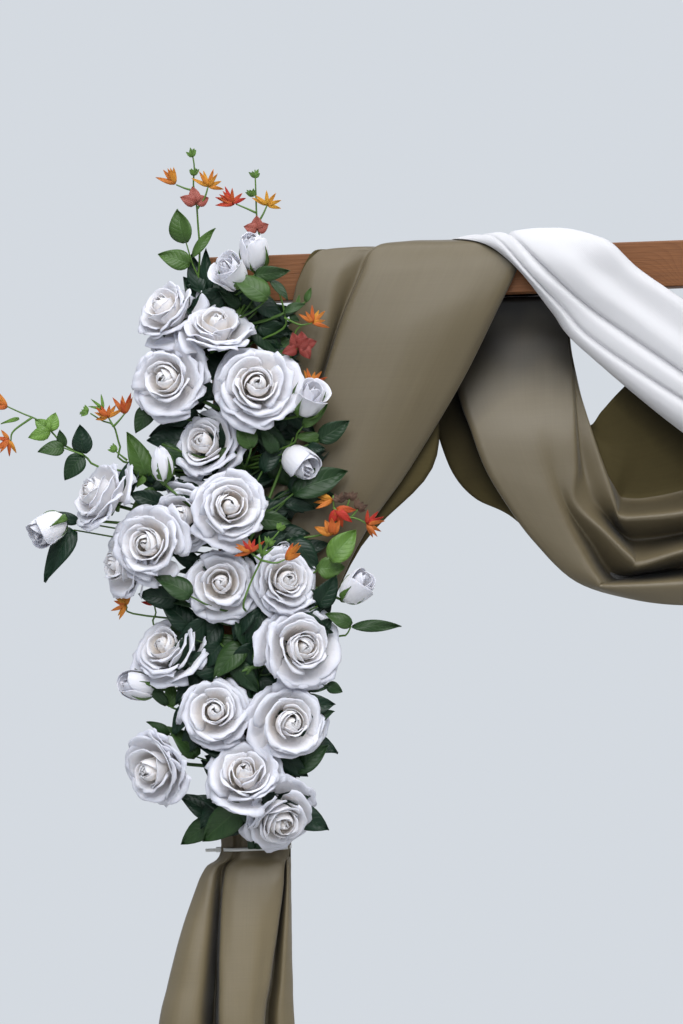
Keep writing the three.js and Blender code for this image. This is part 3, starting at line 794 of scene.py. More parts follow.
# %% Fold lines of the tail, and one cloth through both
TAIL_DROPS = (2182, 1850, 1500, 1200, 1000, 934, 870, 818, 788)
tail_folds = lines(
    TAIL_DROPS,
    ((-150, -140, -120, -90, -70, -62, -50, -36, -26), (-46, -46, -46, -46, -42, -40, -38, -38, -37)),
    ((-232, -216, -188, -156, -130, -114, -95, -76, -61), (-60, -60, -60, -60, -60, -57, -53, -49, -46)),
    ((-200, -186, -160, -134, -112, -98, -82, -66, -54), (-100, -100, -100, -100, -94, -88, -79, -66, -56)),
    ((-140, -130, -112, -92, -78, -70, -62, -54, -46), (-103, -103, -103, -102, -98, -92, -82, -70, -58)),
    ((-96, -90, -78, -66, -59, -54, -49, -43, -38), (-48, -48, -48, -48, -48, -48, -48, -48, -47)),
    ((-82, -76, -66, -58, -52, -49, -45, -40, -33), (-70, -70, -70, -70, -68, -64, -60, -55, -52)),
    ((-72, -66, -58, -52, -48, -46, -42, -38, -31), (-107, -107, -107, -106, -102, -95, -84, -71, -60)),
    ((-56, -50, -44, -38, -34, -32, -28, -24, -16), (-112, -112, -112, -111, -108, -101, -91, -78, -66)),
    ((-34, -30, -24, -16, -10, -6, -2, 2, 6), (-112, -112, -112, -111, -108, -102, -92, -79, -67)),
    ((-20, -18, -14, -8, -2, 6, 14, 22, 26), (-106, -106, -106, -105, -102, -96, -87, -75, -65)),
    ((-8, -6, -4, 0, 6, 17, 27, 36, 39), (-94, -94, -94, -93, -90, -86, -78, -68, -60)),
    ((-4, -3, -1, 3, 9, 19, 29, 38, 41), (-56, -56, -56, -56, -56, -56, -54, -52, -50)),
    ((42, 36, 30, 26, 28, 34, 40, 44, 45), (-80, -80, -80, -78, -74, -72, -68, -62, -56)),
    ((98, 80, 62, 52, 47, 46, 46, 47, 48), (-58, -58, -56, -54, -50, -49, -48, -47, -47)),
    ((48, 36, 24, 20, 20, 24, 28, 30, 30), (-42, -42, -42, -42, -40, -40, -38, -36, -34)),
)
drape_folds = [below + above for below, above in zip(tail_folds, fall_folds)]
left_drape = sheet(
    "left_sage_drape",
    drape_folds,
    across=76,
    along=130,
    flat=(0.42, 2.55),
    wrinkle=1.6,
    crisp=0.35,
    faces=(sage_satin, sage_back),
    slot="sage_satin",
    replaced=["left_sage_fall", "left_sage_tail"],
    seed=1.0,
    turned=((12, 14, 0.41, 1.0),),
)

# %% [markdown]
# ### Sage swag
# The same cloth goes on behind the beam and down into a deep loop. Its broad left panel catches the light.
# At the bottom it turns sharply to the right, where three folds break from it like ropes, and they rise
# again to the beam, behind it and over it. The fold lines run from the back of the fall to the lap in front
# of the beam.

# %% Fold lines of the swag
inner_edge = (
    (450, 33, 63), (437, 31, 115), (444, 27, 178), (457, 20, 233), (474, 12, 217), (490, 6, 200),
    (508, 2, 183), (526, 0, 167), (548, 0, 148), (574, 4, 125), (598, 12, 105), (620, 22, 86),
    (634, 29, 74), (641, 34, 67),
)
inside = (
    (447, 33, 63), (437, 30, 115), (445, 24, 178), (459, 17, 238), (478, 18, 258), (500, 20, 262),
    (520, 22, 260), (540, 22, 255), (558, 22, 248), (582, 22, 236), (625, 24, 214), (668, 27, 178),
    (694, 30, 135), (706, 34, 84),
)
third_hollow = (
    (444, 33, 63), (437, 38, 115), (445, 27, 178), (459, 10, 240), (472, 10, 285), (486, 18, 312),
    (494, 27, 326), (502, 31, 330), (528, 33, 331), (577, 34, 323), (640, 34, 304), (700, 32, 256),
    (738, 31, 180), (758, 34, 86),
)
third_fold = (
    (442, 33, 63), (436, 39, 115), (444, 20, 178), (458, -2, 236), (468, -9, 274), (480, -14, 315),
    (486, -17, 340), (492, -19, 356), (520, -20, 357), (576, -20, 353), (645, -18, 338), (715, -8, 285),
    (764, 10, 195), (796, 34, 88),
)
second_hollow = (
    (439, 33, 63), (436, 40, 115), (440, 18, 178), (442, 0, 236), (446, 0, 285), (456, 0, 325),
    (474, 10, 352), (500, 28, 382), (530, 31, 385), (576, 32, 379), (650, 30, 364), (725, 24, 308),
    (784, 24, 210), (824, 34, 88),
)
second_fold = (
    (435, 33, 63), (436, 40, 118), (437, 15, 178), (437, -14, 238), (437, -22, 290), (434, -24, 335),
    (470, -27, 374), (505, -29, 410), (514, -31, 418), (574, -31, 402), (650, -27, 390), (736, -12, 332),
    (802, 10, 225), (850, 34, 88),
)
first_hollow = (
    (410, 33, 63), (410, 40, 116), (408, 13, 178), (406, -14, 238), (410, -19, 292), (424, -14, 340),
    (452, 2, 385), (484, 22, 432), (530, 27, 430), (574, 28, 424), (650, 26, 413), (745, 18, 352),
    (822, 20, 235), (874, 34, 88),
)
first_fold = (
    (372, 33, 63), (372, 40, 116), (370, 12, 180), (374, -16, 240), (392, -24, 300), (414, -27, 352),
    (436, -30, 397), (460, -34, 436), (470, -35, 443), (572, -35, 442), (650, -31, 434), (755, -16, 366),
    (842, 6, 245), (898, 34, 88),
)
lower_turn = (
    (306, 33, 63), (293, 38, 118), (288, 12, 182), (303, -8, 236), (319, -15, 284), (345, -17, 332),
    (380, -18, 384), (430, -18, 436), (500, -18, 462), (572, -18, 473), (650, -15, 468), (760, -4, 392),
    (856, 12, 255), (916, 34, 88),
)
underside = (
    (262, 34, 63), (272, 28, 118), (302, 20, 184), (318, 18, 240), (334, 18, 286), (358, 16, 330),
    (388, 12, 374), (430, 8, 420), (494, 6, 450), (572, 8, 462), (650, 10, 456), (752, 14, 384),
    (846, 24, 250), (906, 36, 88),
)
outer_edge = (
    (215, 33, 63), (232, 24, 120), (246, 20, 184), (259, 24, 235), (278, 29, 290), (306, 32, 324),
    (346, 33, 345), (386, 32, 376), (450, 30, 400), (570, 30, 415), (650, 29, 410), (735, 28, 350),
    (815, 32, 235), (872, 38, 88),
)
SWAG_LAP = (645, 712, 765, 802, 832, 858, 884, 908, 922, 930, 936)  # where each line crosses the beam
SWAG_LIFT = (3.0, 3.4, 3.2, 4.5, 3.4, 5.0, 3.6, 5.0, 3.8, 3.2, 3.0)
swag_folds = []
for line, x, lift in zip(
    (
        inner_edge, inside, third_hollow, third_fold, second_hollow, second_fold,
        first_hollow, first_fold, lower_turn, underside, outer_edge,
    ),
    SWAG_LAP,
    SWAG_LIFT,
):
    lap = [(x + 4, -HALF_BEAM - lift, BEAM_DEPTH)]
    swag_folds.append(list(line) + over_beam(x + 3, x, lift, back_first=True) + lap)
left_swag = sheet(
    "left_sage_loop",
    swag_folds,
    across=80,
    along=120,
    flat=(0.34, 1.3),
    wrinkle=1.2,
    crisp=0.6,
    faces=(sage_satin, sage_back),
    slot="sage_satin",
    replaced=["left_sage_swag"],
    seed=4.0,
    turned=((0, 2, 0.0, 0.69), (8.6, 10, 0.0, 0.69)),
)

# %% [markdown]
# ### White swag
# The crepe comes over the beam from a short end behind it, then hangs across the arch in one long curve. It
# is gathered into a broad upper lobe and narrower folds below, with two sharp creases between them. Past
# the part that the picture shows, both edges follow parabolas, and the far half is the near half mirrored.

# %% Fold lines of the white swag
UPPER_LOW = 276  # drop of the upper and lower edges in the middle of the arch
LOWER_LOW = 400
UPPER_RISE = 0.00089
LOWER_RISE = 0.00066


def hanging(x, share, y):
    """A place on the swag at x, at a share of the way from its upper to its lower edge."""
    reach = (MIDDLE - x) ** 2
    upper = UPPER_LOW - UPPER_RISE * reach
    lower = LOWER_LOW - LOWER_RISE * reach
    return (x, y, upper + (lower - upper) * share)


# Each line: its share at the middle of the arch, how far it stands forward there, its end behind the beam,
# its way over the beam, and its places in front down to the edge of the picture.
WHITE_LINES = (
    (0.00, -46, 436, ((464, 12, -11), (474, -36, -8)), ((493, -50, 3), (525, -50, 36), (586, -50, 82))),
    (0.07, -54, 432, ((450, 12, -16), (460, -40, -13)), ((482, -62, 4), (515, -60, 41), (572, -58, 84))),
    (0.25, -52, 420, ((426, 12, -20), (434, -42, -17)), ((450, -62, 14), (488, -58, 48), (541, -55, 92))),
    (0.42, -57, 398, ((392, 12, -20), (397, -44, -18)), ((424, -68, 16), (466, -66, 58), (519, -62, 100))),
    (0.52, -54, 380, ((366, 12, -17), (371, -44, -15)), ((402, -66, 22), (450, -60, 69), (500, -56, 109))),
    (0.54, -45, 376, ((360, 12, -13), (365, -42, -10)), ((398, -56, 23), (446, -50, 71), (496, -47, 111))),
    (0.63, -55, 362, ((343, 8, -17), (358, -46, -13)), ((391, -66, 31), (438, -60, 74), (487, -58, 118))),
    (0.72, -53, 347, ((327, 4, -17), (349, -47, -10)), ((387, -64, 37), (428, -57, 80), (474, -55, 128))),
    (0.74, -47, 343, ((322, 2, -15), (345, -45, -8)), ((385, -58, 38), (424, -51, 81), (470, -49, 130))),
    (0.81, -54, 333, ((310, -4, -16), (341, -47, -8)), ((380, -63, 38), (419, -56, 83), (463, -55, 134))),
    (0.90, -51, 322, ((299, -8, -15), (337, -47, -6)), ((376, -61, 36), (416, -53, 86), (457, -52, 137))),
    (0.96, -42, 316, ((293, -10, -14), (334, -45, -4)), ((373, -54, 34), (413, -46, 88), (452, -44, 139))),
    (1.00, -26, 311, ((288, -10, -13), (332, -42, -2)), ((372, -44, 33), (412, -34, 87), (450, -29, 136))),
)
WHITE_BACK = 50  # how far behind the beam's middle its ends hang
WHITE_END = 112  # drop of the ends
BACK_RIPPLE = 0.5  # how much of a fold's depth in front is left behind the beam
MEAN_FRONT = -50  # y of a fold line that is neither high nor low
LOWER_LEAN = 80  # where it leaves the picture, the lower edge lags this far behind the upper one
LEANING = ((680, 1.0), (790, 0.8), (915, 0.4), (MIDDLE, 0.0))  # how much of that is left at each x


def white_line(share, front, back_x, crossing, shown):
    ripple = (front - MEAN_FRONT) * BACK_RIPPLE
    places = [
        (back_x, WHITE_BACK + ripple, WHITE_END - 20 * share),
        (back_x - 2, WHITE_BACK + ripple, 64),
        (back_x - 6, WHITE_BACK - 3 + ripple, 4),
        *crossing,
        *shown,
    ]
    for x, lean in LEANING:
        places.append(hanging(x - LOWER_LEAN * share * lean, share, front))
    far = [(2 * MIDDLE - x, y, drop) for x, y, drop in places[:-1]]
    return places + far[::-1]


white_folds = [white_line(*values) for values in WHITE_LINES]
white_swag = sheet(
    "white_crepe_swag",
    white_folds,
    across=60,
    along=190,
    flat=(0.17, 2.35),
    wrinkle=0.7,
    crisp=0.25,
    faces=(white_crepe, white_crepe),
    slot="white_crepe",
    replaced=["white_swag"],
    seed=7.0,
)

# %% [markdown]
# ### Sage wrap
# In the middle of the beam the ends of both swags are held by a short wrap of the same satin. It is wound
# round the beam and pushed together, so its folds run round the timber. The same sheet helper makes it,
# with fold lines that go once round the beam and overlap behind it. Its normals point to the beam, so the
# matt back comes first.

# %% Wrap round the middle of the beam
wrap_low, wrap_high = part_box("centre_sage_wrap")
WRAP_LEFT = (wrap_low.x - POST_X) / MM
WRAP_WIDTH = (wrap_high.x - wrap_low.x) / MM
WRAP_FOLDS = 17
WRAP_START = 8  # where the first fold line lies in the wrap's width, and how much narrower they all lie
WRAP_LESS = 22
WRAP_CUT = 3.15  # how far the cloth cuts across each corner
NEAR_CORNER = 0.6  # a place this share of the way from the middle of a side to its corner
EDGE_LIFT = 2.0  # how far it lies above the timber at its edges, in its hollows, and more on its ridges
HOLLOW_LIFT = 2.2
RIDGE_LIFT = 6.2
wrap_dice = random.Random(3)


def round_beam(x, height, twist):
    """One fold line round the beam, from the middle of its back over the top and back again."""
    half = HALF_BEAM + height
    corner = half - WRAP_CUT
    near = half * NEAR_CORNER
    way = (
        (half, 0), (half, -near), (corner, -corner), (near, -half), (-near, -half), (-corner, -corner),
        (-half, -near), (-half, near), (-corner, corner), (-near, half), (near, half), (corner, corner),
        (half + 0.8, near), (half + 2.2, -6),
    )
    last = len(way) - 1
    return [(x + twist * i / last, y, HALF_BEAM + down) for i, (y, down) in enumerate(way)]


wrap_folds = []
for i in range(WRAP_FOLDS):
    along = (WRAP_WIDTH - WRAP_LESS) * i / (WRAP_FOLDS - 1)
    x = WRAP_LEFT + WRAP_START + along + wrap_dice.uniform(-2.5, 2.5)
    if i in (0, WRAP_FOLDS - 1):
        height = EDGE_LIFT
    else:
        height = HOLLOW_LIFT + (RIDGE_LIFT if i % 2 else 0.0) + wrap_dice.uniform(0, 1.4)
    wrap_folds.append(round_beam(x, height, wrap_dice.uniform(-5, 9)))
centre_wrap = sheet(
    "centre_wrap",
    wrap_folds,
    across=64,
    along=56,
    flat=(0.27, 0.31),
    wrinkle=0.5,
    crisp=0.2,
    faces=(sage_back, sage_satin),
    slot="sage_satin",
    replaced=["centre_sage_wrap"],
    seed=12.0,
)

# %% [markdown]
# ### Painted shade in the hollows of the satin
# Outdoors a cloth is lit by the sky above it, and a hollow that sees no sky is nearly black. So each vertex
# of the satin measures how much sky each of its two sides sees: rays go out all round, more count is given
# to the high ones, and those that soon meet cloth or timber are lost. The shares are smoothed along the
# cloth and kept as two attributes, with which the satin paints shade into its colour, on top of the shade
# that the lamps cast. They belong to the cloth, so the painted shade holds from any side.

# %% How much sky each side sees
SKY_RAYS = 72
SKY_REACH = 0.5  # metres
STAND_OFF = 0.002  # a ray starts this far from the cloth
SMOOTHING = 4  # rounds of averaging with the vertices beside each one
GOLDEN = math.radians(137.5)  # turns by this angle never line up
LEVEL_SKY = 0.3  # how much the sky at the horizon counts, where straight overhead is 1


def sky_rays():
    """Even directions round a sphere, each with how bright the sky is there."""
    rays = []
    for i in range(SKY_RAYS):
        z = 1 - (2 * i + 1) / SKY_RAYS
        level = math.sqrt(1 - z * z)
        angle = GOLDEN * i
        way = Vector((level * math.cos(angle), level * math.sin(angle), z))
        rays.append((way, max(0.0, LEVEL_SKY + (1 - LEVEL_SKY) * z)))
    return rays


def sky_share(place, normal, tree, rays):
    """How much of the sky on one side of a place is open, from 0 to 1."""
    seen = 0.0
    total = 0.0
    for way, bright in rays:
        worth = way.dot(normal) * bright
        if worth > 0:
            total += worth
            if tree.ray_cast(place + normal * STAND_OFF, way, SKY_REACH)[0] is None:
                seen += worth
    return seen / total if total else 0.0


def measure_sky(cloth, around):
    """Stores two shares of sky on a cloth, one for the side that shows its face and one for its back."""
    solid = bmesh.new()
    for other in around:
        solid.from_mesh(other.data)
    tree = BVHTree.FromBMesh(solid)
    solid.free()
    rays = sky_rays()
    bm = bmesh.new()
    bm.from_mesh(cloth.data)
    shares = []
    for v in bm.verts:
        pair = [sky_share(v.co, v.normal * side, tree, rays) for side in (1, -1)]
        worn = cloth.data.materials[v.link_faces[0].material_index]
        shares.append(pair if worn == sage_satin else pair[::-1])
    shares = np.array(shares)
    beside = [[e.other_vert(v).index for e in v.link_edges] for v in bm.verts]
    for _ in range(SMOOTHING):
        shares = np.array([(shares[i] + shares[near].mean(axis=0)) / 2 for i, near in enumerate(beside)])
    for column, name in enumerate(("open face", "open back")):
        layer = bm.verts.layers.float.new(name)
        for v in bm.verts:
            v[layer] = shares[v.index, column]
    bm.to_mesh(cloth.data)
    bm.free()
    low, middle, high = np.percentile(shares[:, 0], (5, 50, 95))
    print(cloth.name, "sees of the sky:", round(low, 2), round(middle, 2), round(high, 2))


around = [left_drape, left_swag, white_swag]
around += [bpy.data.objects[name] for name in ("beam_planed", "left_post_planed")]
for cloth in (left_drape, left_swag, centre_wrap):
    measure_sky(cloth, around)

# %% [markdown]
# ### Nylon tie
# A white nylon strap is pulled tight round the post and the cloth. Its toothed end passes through a small
# head on the left, and what is left of it sticks out. The loop starts as a circle of vertices, pulled into
# a rounded square, raised into a band and given its thickness by the solidify operator.

# %% Nylon finish
NYLON = (0.62, 0.62, 0.58, 1)
NYLON_MILKY = (0.8, 0.8, 0.77, 1)
TEETH_SCALE = 240.0

tie_nylon, w, shader = finish("tie nylon", 0.38, Specular_IOR_Level=0.5)
own = w.add("TexCoord").outputs["Object"]
cloudy = use(w, variation, Vector=own, Scale=30.0, Amount=0.2)
w.feed(shader, "Base Color", w.blend(w.maths("SUBTRACT", cloudy.outputs[0], 0.5), NYLON, NYLON_MILKY))
ACROSS = {"wave_type": "BANDS", "bands_direction": "X"}
teeth = w.add("TexWave", ACROSS, Vector=own, Scale=TEETH_SCALE, Distortion=0.0)
bump(w, shader, teeth.outputs[1], 0.0003, 0.5)
w.feed(shader, "Roughness", w.spread(cloudy.outputs[0], 0.7, 1.3, 0.3, 0.48))
print("finish:", tie_nylon.name)

# %% Tie round the left post
tie_low, tie_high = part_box("left_tie")
STRAP_THICK = 1.5
STRAP_WIDTH = 4.2
TIE_DROP = (BEAM_TOP - (tie_low.z + tie_high.z) / 2) / MM
LOOP_LEFT = -39
LOOP_RIGHT = 49
LOOP_FRONT = -58
LOOP_BACK = 31.4
LOOP_STEPS = 72
SQUARENESS = 0.42  # 1 would be an ellipse, 0 a rectangle


def squared(value):
    return math.copysign(abs(value) ** SQUARENESS, value)


bm = bmesh.new()
loop = bmesh.ops.create_circle(bm, cap_ends=False, segments=LOOP_STEPS, radius=1.0)["verts"]
for v in loop:
    a = math.atan2(v.co.y, v.co.x)
    x = (LOOP_LEFT + LOOP_RIGHT) / 2 + (LOOP_RIGHT - LOOP_LEFT) / 2 * squared(math.cos(a))
    y = (LOOP_FRONT + LOOP_BACK) / 2 + (LOOP_BACK - LOOP_FRONT) / 2 * squared(math.sin(a))
    v.co = spot(x, y, TIE_DROP + STRAP_WIDTH / 2)
raised = bmesh.ops.extrude_edge_only(bm, edges=bm.edges[:])["geom"]
raised = [g for g in raised if isinstance(g, bmesh.types.BMVert)]
bmesh.ops.translate(bm, verts=raised, vec=(0, 0, STRAP_WIDTH * MM))
bmesh.ops.recalc_face_normals(bm, faces=bm.faces)
bmesh.ops.solidify(bm, geom=bm.faces[:], thickness=-STRAP_THICK * MM)


def nylon_block(middle, size, ease):
    """A small block with eased edges."""
    made = bmesh.ops.create_cube(bm, size=1.0)["verts"]
    for v in made:
        v.co = middle + Vector((v.co.x * size[0], v.co.y * size[1], v.co.z * size[2])) * MM
    edges = list({e for v in made for e in v.link_edges})
    bmesh.ops.bevel(
        bm, geom=edges, offset=ease * MM, affect="EDGES", segments=2, profile=0.5, material=-1
    )


HEAD_SIZE = (7, 8, 6.5)
HEAD_EASE = 0.8
HEAD_OUT = 4.5  # how far left of the loop its middle is
END_SIZE = (17, 1.6, STRAP_WIDTH)
END_EASE = 0.4
END_OUT = 13
END_LOWER = 0.4  # its middle is a little lower than the head's
HEAD_Y = LOOP_FRONT + 15
nylon_block(spot(LOOP_LEFT - HEAD_OUT, HEAD_Y, TIE_DROP), HEAD_SIZE, HEAD_EASE)
nylon_block(spot(LOOP_LEFT - END_OUT, HEAD_Y, TIE_DROP + END_LOWER), END_SIZE, END_EASE)
bmesh.ops.recalc_face_normals(bm, faces=bm.faces)
left_tie = piece("left_nylon_tie", bm, [tie_nylon], "tie_nylon", ["left_tie"])
mirrored(left_tie, ["right_tie"])
print(left_tie.name, "at a drop of", round(TIE_DROP))

# %% [markdown]
# ## Silk petals and leaves
# The petals are woven silk, pressed into shape: matt, cool white at the rim and creamy where they crowd in
# the heart. Both are partly the silk's own tint and partly painted light: the cool, darker rim is painted
# sky shade on the outer petals, and the cream is partly painted warm light bounced between the crowded
# petals.
# Each petal stores how warm it is in an attribute, and its UV map runs from its foot to its rim, so fine
# pressed creases can follow it. Leaves carry a tone in the same way, from dark to light green.

# %% Silk petal finish
# Partly painted light: the rim's cool, darker white is painted sky shade on the outer petals, and the
# heart's cream is partly painted warm light bounced between the crowded petals.
RIM_WHITE_AND_COOL_SHADE = (0.75, 0.76, 0.84, 1)
FACE_WHITE = (0.89, 0.88, 0.91, 1)
HEART_CREAM_AND_BOUNCE_LIGHT = (0.96, 0.86, 0.74, 1)
CREASES = (26, 3, 1)  # pressed creases across a petal and along it
SILK_SCALE = 1400.0

silk_petal, w, shader = finish(
    "silk petal",
    0.72,
    Sheen_Weight=0.35,
    Sheen_Roughness=0.5,
    Subsurface_Weight=0.15,
    Subsurface_Radius=(1.0, 0.85, 0.75),
    Subsurface_Scale=0.001,
)
warmth = w.add("Attribute", {"attribute_name": "warm"})
own = w.add("TexCoord")
mottled = use(w, variation, Vector=own.outputs["Object"], Scale=38.0, Amount=0.25)
warm = w.maths("MULTIPLY", warmth.outputs["Fac"], mottled.outputs[0], clamp=True)
# Partly painted light: cool sky shade at the rims, warm bounce light in the heart.
white = w.blend(w.spread(warm, 0.0, 0.25), RIM_WHITE_AND_COOL_SHADE, FACE_WHITE)
w.feed(shader, "Base Color", w.blend(w.spread(warm, 0.35, 1.1), white, HEART_CREAM_AND_BOUNCE_LIGHT))
pressed = w.add("TexNoise", Vector=w.stretched(own.outputs["UV"], CREASES), Scale=1.0, Detail=3.0)
silk = w.add("TexNoise", Vector=own.outputs["Object"], Scale=SILK_SCALE, Detail=1.0)
height = w.maths("ADD", pressed.outputs[0], w.maths("MULTIPLY", silk.outputs[0], 0.25))
bump(w, shader, height, 0.0012, 0.55)
print("finish:", silk_petal.name)

# %% [markdown]
# ### Leaf veins
# A silk leaf is printed and pressed with a midrib and pairs of side veins. They are drawn from the leaf's
# own UV map, which is 0.5 across at the midrib and runs from 0 to 1 along it, so they fit every leaf.

# %% Group: leaf veins
RIB_CORE = 0.012  # where the midrib starts to fade, and where it ends, in shares of the leaf's width
RIB_EDGE = 0.035
VEIN_SLANT = 0.55
VEIN_WIDTH = 0.09
VEIN_TONE = 0.6  # beside the midrib's 1

veins, w, given_in, to_out = group(
    "leaf veins", {"Vector": ("Vector", None), "Pairs": ("Float", 8.0)}, {"Vein": "Float", "Puff": "Float"}
)
own = w.add("SeparateXYZ", Vector=given_in["Vector"])
aside = w.maths("ABSOLUTE", w.maths("SUBTRACT", own.outputs[0], 0.5))
rib = w.spread(aside, RIB_CORE, RIB_EDGE, 1.0, 0.0)
slant = w.maths("SUBTRACT", own.outputs[1], w.maths("MULTIPLY", aside, VEIN_SLANT))
wave = w.maths("FRACT", w.maths("MULTIPLY", slant, given_in["Pairs"]))
off = w.maths("ABSOLUTE", w.maths("SUBTRACT", wave, 0.5))
line = w.spread(off, 0.0, VEIN_WIDTH, VEIN_TONE, 0.0)
w.tree.links.new(w.maths("MAXIMUM", rib, line), to_out["Vein"])
w.tree.links.new(w.maths("POWER", off, 0.6), to_out["Puff"])
print("group:", veins.name)

# %% Leaf finishes
LEAF_DARK = (0.006, 0.026, 0.012, 1)
LEAF_LIGHT = (0.15, 0.29, 0.045, 1)
VEIN_GREEN = (0.13, 0.24, 0.08, 1)


def leaf_finish(name, dark, light, vein, rough):
    """Printed silk, coated: its tone attribute picks a colour between two greens."""
    made, w, shader = finish(name, rough, Specular_IOR_Level=0.35)
    tone = w.add("Attribute", {"attribute_name": "warm"})
    own = w.add("TexCoord")
    lines_on = use(w, veins, Vector=own.outputs["UV"], Pairs=7.0)
    mottled = use(w, variation, Vector=own.outputs["Object"], Scale=60.0, Amount=0.35)
    share = w.maths("MULTIPLY", tone.outputs["Fac"], mottled.outputs[0], clamp=True)
    green = w.blend(share, dark, light)
    veined = w.maths("MULTIPLY", lines_on.outputs["Vein"], w.spread(share, 0.0, 0.5, 0.05, 0.35))
    w.feed(shader, "Base Color", w.blend(veined, green, vein))
    w.feed(shader, "Roughness", w.spread(mottled.outputs[0], 0.8, 1.2, rough - 0.08, rough + 0.1))
    height = w.maths("SUBTRACT", lines_on.outputs["Puff"], lines_on.outputs["Vein"])
    bump(w, shader, height, 0.0005, 0.6)
    return made


SPRIG_LOOKS = {
    "autumn sprig": ((0.46, 0.028, 0.015, 1), (0.68, 0.34, 0.03, 1), (0.6, 0.24, 0.08, 1), 0.55),
    "blush leaflet": ((0.24, 0.035, 0.026, 1), (0.50, 0.18, 0.13, 1), (0.5, 0.24, 0.16, 1), 0.5),
    "dried bud": ((0.045, 0.022, 0.014, 1), (0.19, 0.11, 0.07, 1), (0.2, 0.13, 0.09, 1), 0.6),
}  # dark, light and vein colour, and how rough
silk_leaf = leaf_finish("silk leaf", LEAF_DARK, LEAF_LIGHT, VEIN_GREEN, 0.42)
sprigs = [leaf_finish(name, *look) for name, look in SPRIG_LOOKS.items()]
FLOWER_FINISHES = [silk_petal, silk_leaf, *sprigs]
GREEN, AUTUMN, BLUSH, DRIED = range(1, 5)  # their places in that list, after the petal's
print("leaf finishes:", ", ".join(made.name for made in FLOWER_FINISHES[1:]))

# %% [markdown]
# ## One petal
# A real rose opens from its heart: each petal starts upright and rolled, then leans out, and at last its
# rim curls back. So one petal is drawn by its age. Four profiles, from the newest to the oldest, give its
# rise from foot to rim, and all other ages lie between them. The petal starts as a flat grid that is
# wrapped round the rose's axis, with rounded corners, a tucked side and a ruffled rim.

# %% Petal profiles, in shares of the rose's radius
PETAL_RISES = (
    ((0.02, -0.45), (0.13, -0.22), (0.20, 0.00), (0.21, 0.17), (0.19, 0.30), (0.12, 0.38), (0.03, 0.41)),
    ((0.05, -0.48), (0.22, -0.34), (0.32, -0.10), (0.36, 0.10), (0.36, 0.25), (0.36, 0.35), (0.37, 0.38)),
    ((0.07, -0.52), (0.33, -0.42), (0.48, -0.20), (0.57, 0.00), (0.63, 0.14), (0.69, 0.23), (0.73, 0.25)),
    ((0.08, -0.56), (0.42, -0.50), (0.66, -0.38), (0.82, -0.24), (0.92, -0.14), (1.0, -0.09), (1.05, -0.1)),
)
AGES = 60
RISE_STEPS = 41
RISES = through(through(PETAL_RISES, AGES + 1).transpose(1, 0, 2), RISE_STEPS).transpose(1, 0, 2)
FOOT_TO_RIM = np.linspace(0, 1, RISE_STEPS)
LIP = 0.82  # from here to the rim a petal rolls back
LIP_OUT = 0.05  # how far it rolls out and down, in shares of the rose's radius, as all that follows
LIP_DOWN = 0.055
POINT = (0.01, 0.11)  # the least and the most that the middle of its rim is pointed
SKEW = 0.06  # how much one corner may stand higher than the other
RUFFLE_OUT = 0.036
RUFFLE_UP = 0.066
FINE_RUFFLE = 0.016
ROUND_CORNERS = 0.10  # how much height its corners lose, over a broad part of the rim and close to them
SHARP_CORNERS = 0.16
NICKS = 0.055
FOOT_WIDTH = 0.34  # its width at the foot, what that gains on the way up, and where it is widest
WIDENING = 0.66
WIDEST = 0.62
RIM_NARROWS = 0.13
SIDES_OUT = 0.12  # how far the sides of an old petal go out and droop
SIDES_DOWN = 0.10
TUCK = (0.03, 0.025)  # how far one side lies over the next petal: when it is new, and what age adds
LEAN = (4, 5.5)  # the same for how far petals lean out of line, in degrees
HEIGHT_STRAY = 0.018
CROWDING = 1.3  # over 1 the rows of a petal's grid lie closer at its rim
# Warmth is partly the silk's cream and partly painted light, bounced between the crowded petals near their
# feet.
WARM_FOOT = 1.35  # how warm its foot is, and how much of that is lost up to its rim
WARM_FALL = 1.45
WARM_AGES = 0.6  # what age takes away
WARM_HEART = 0.4  # and what the newest have more


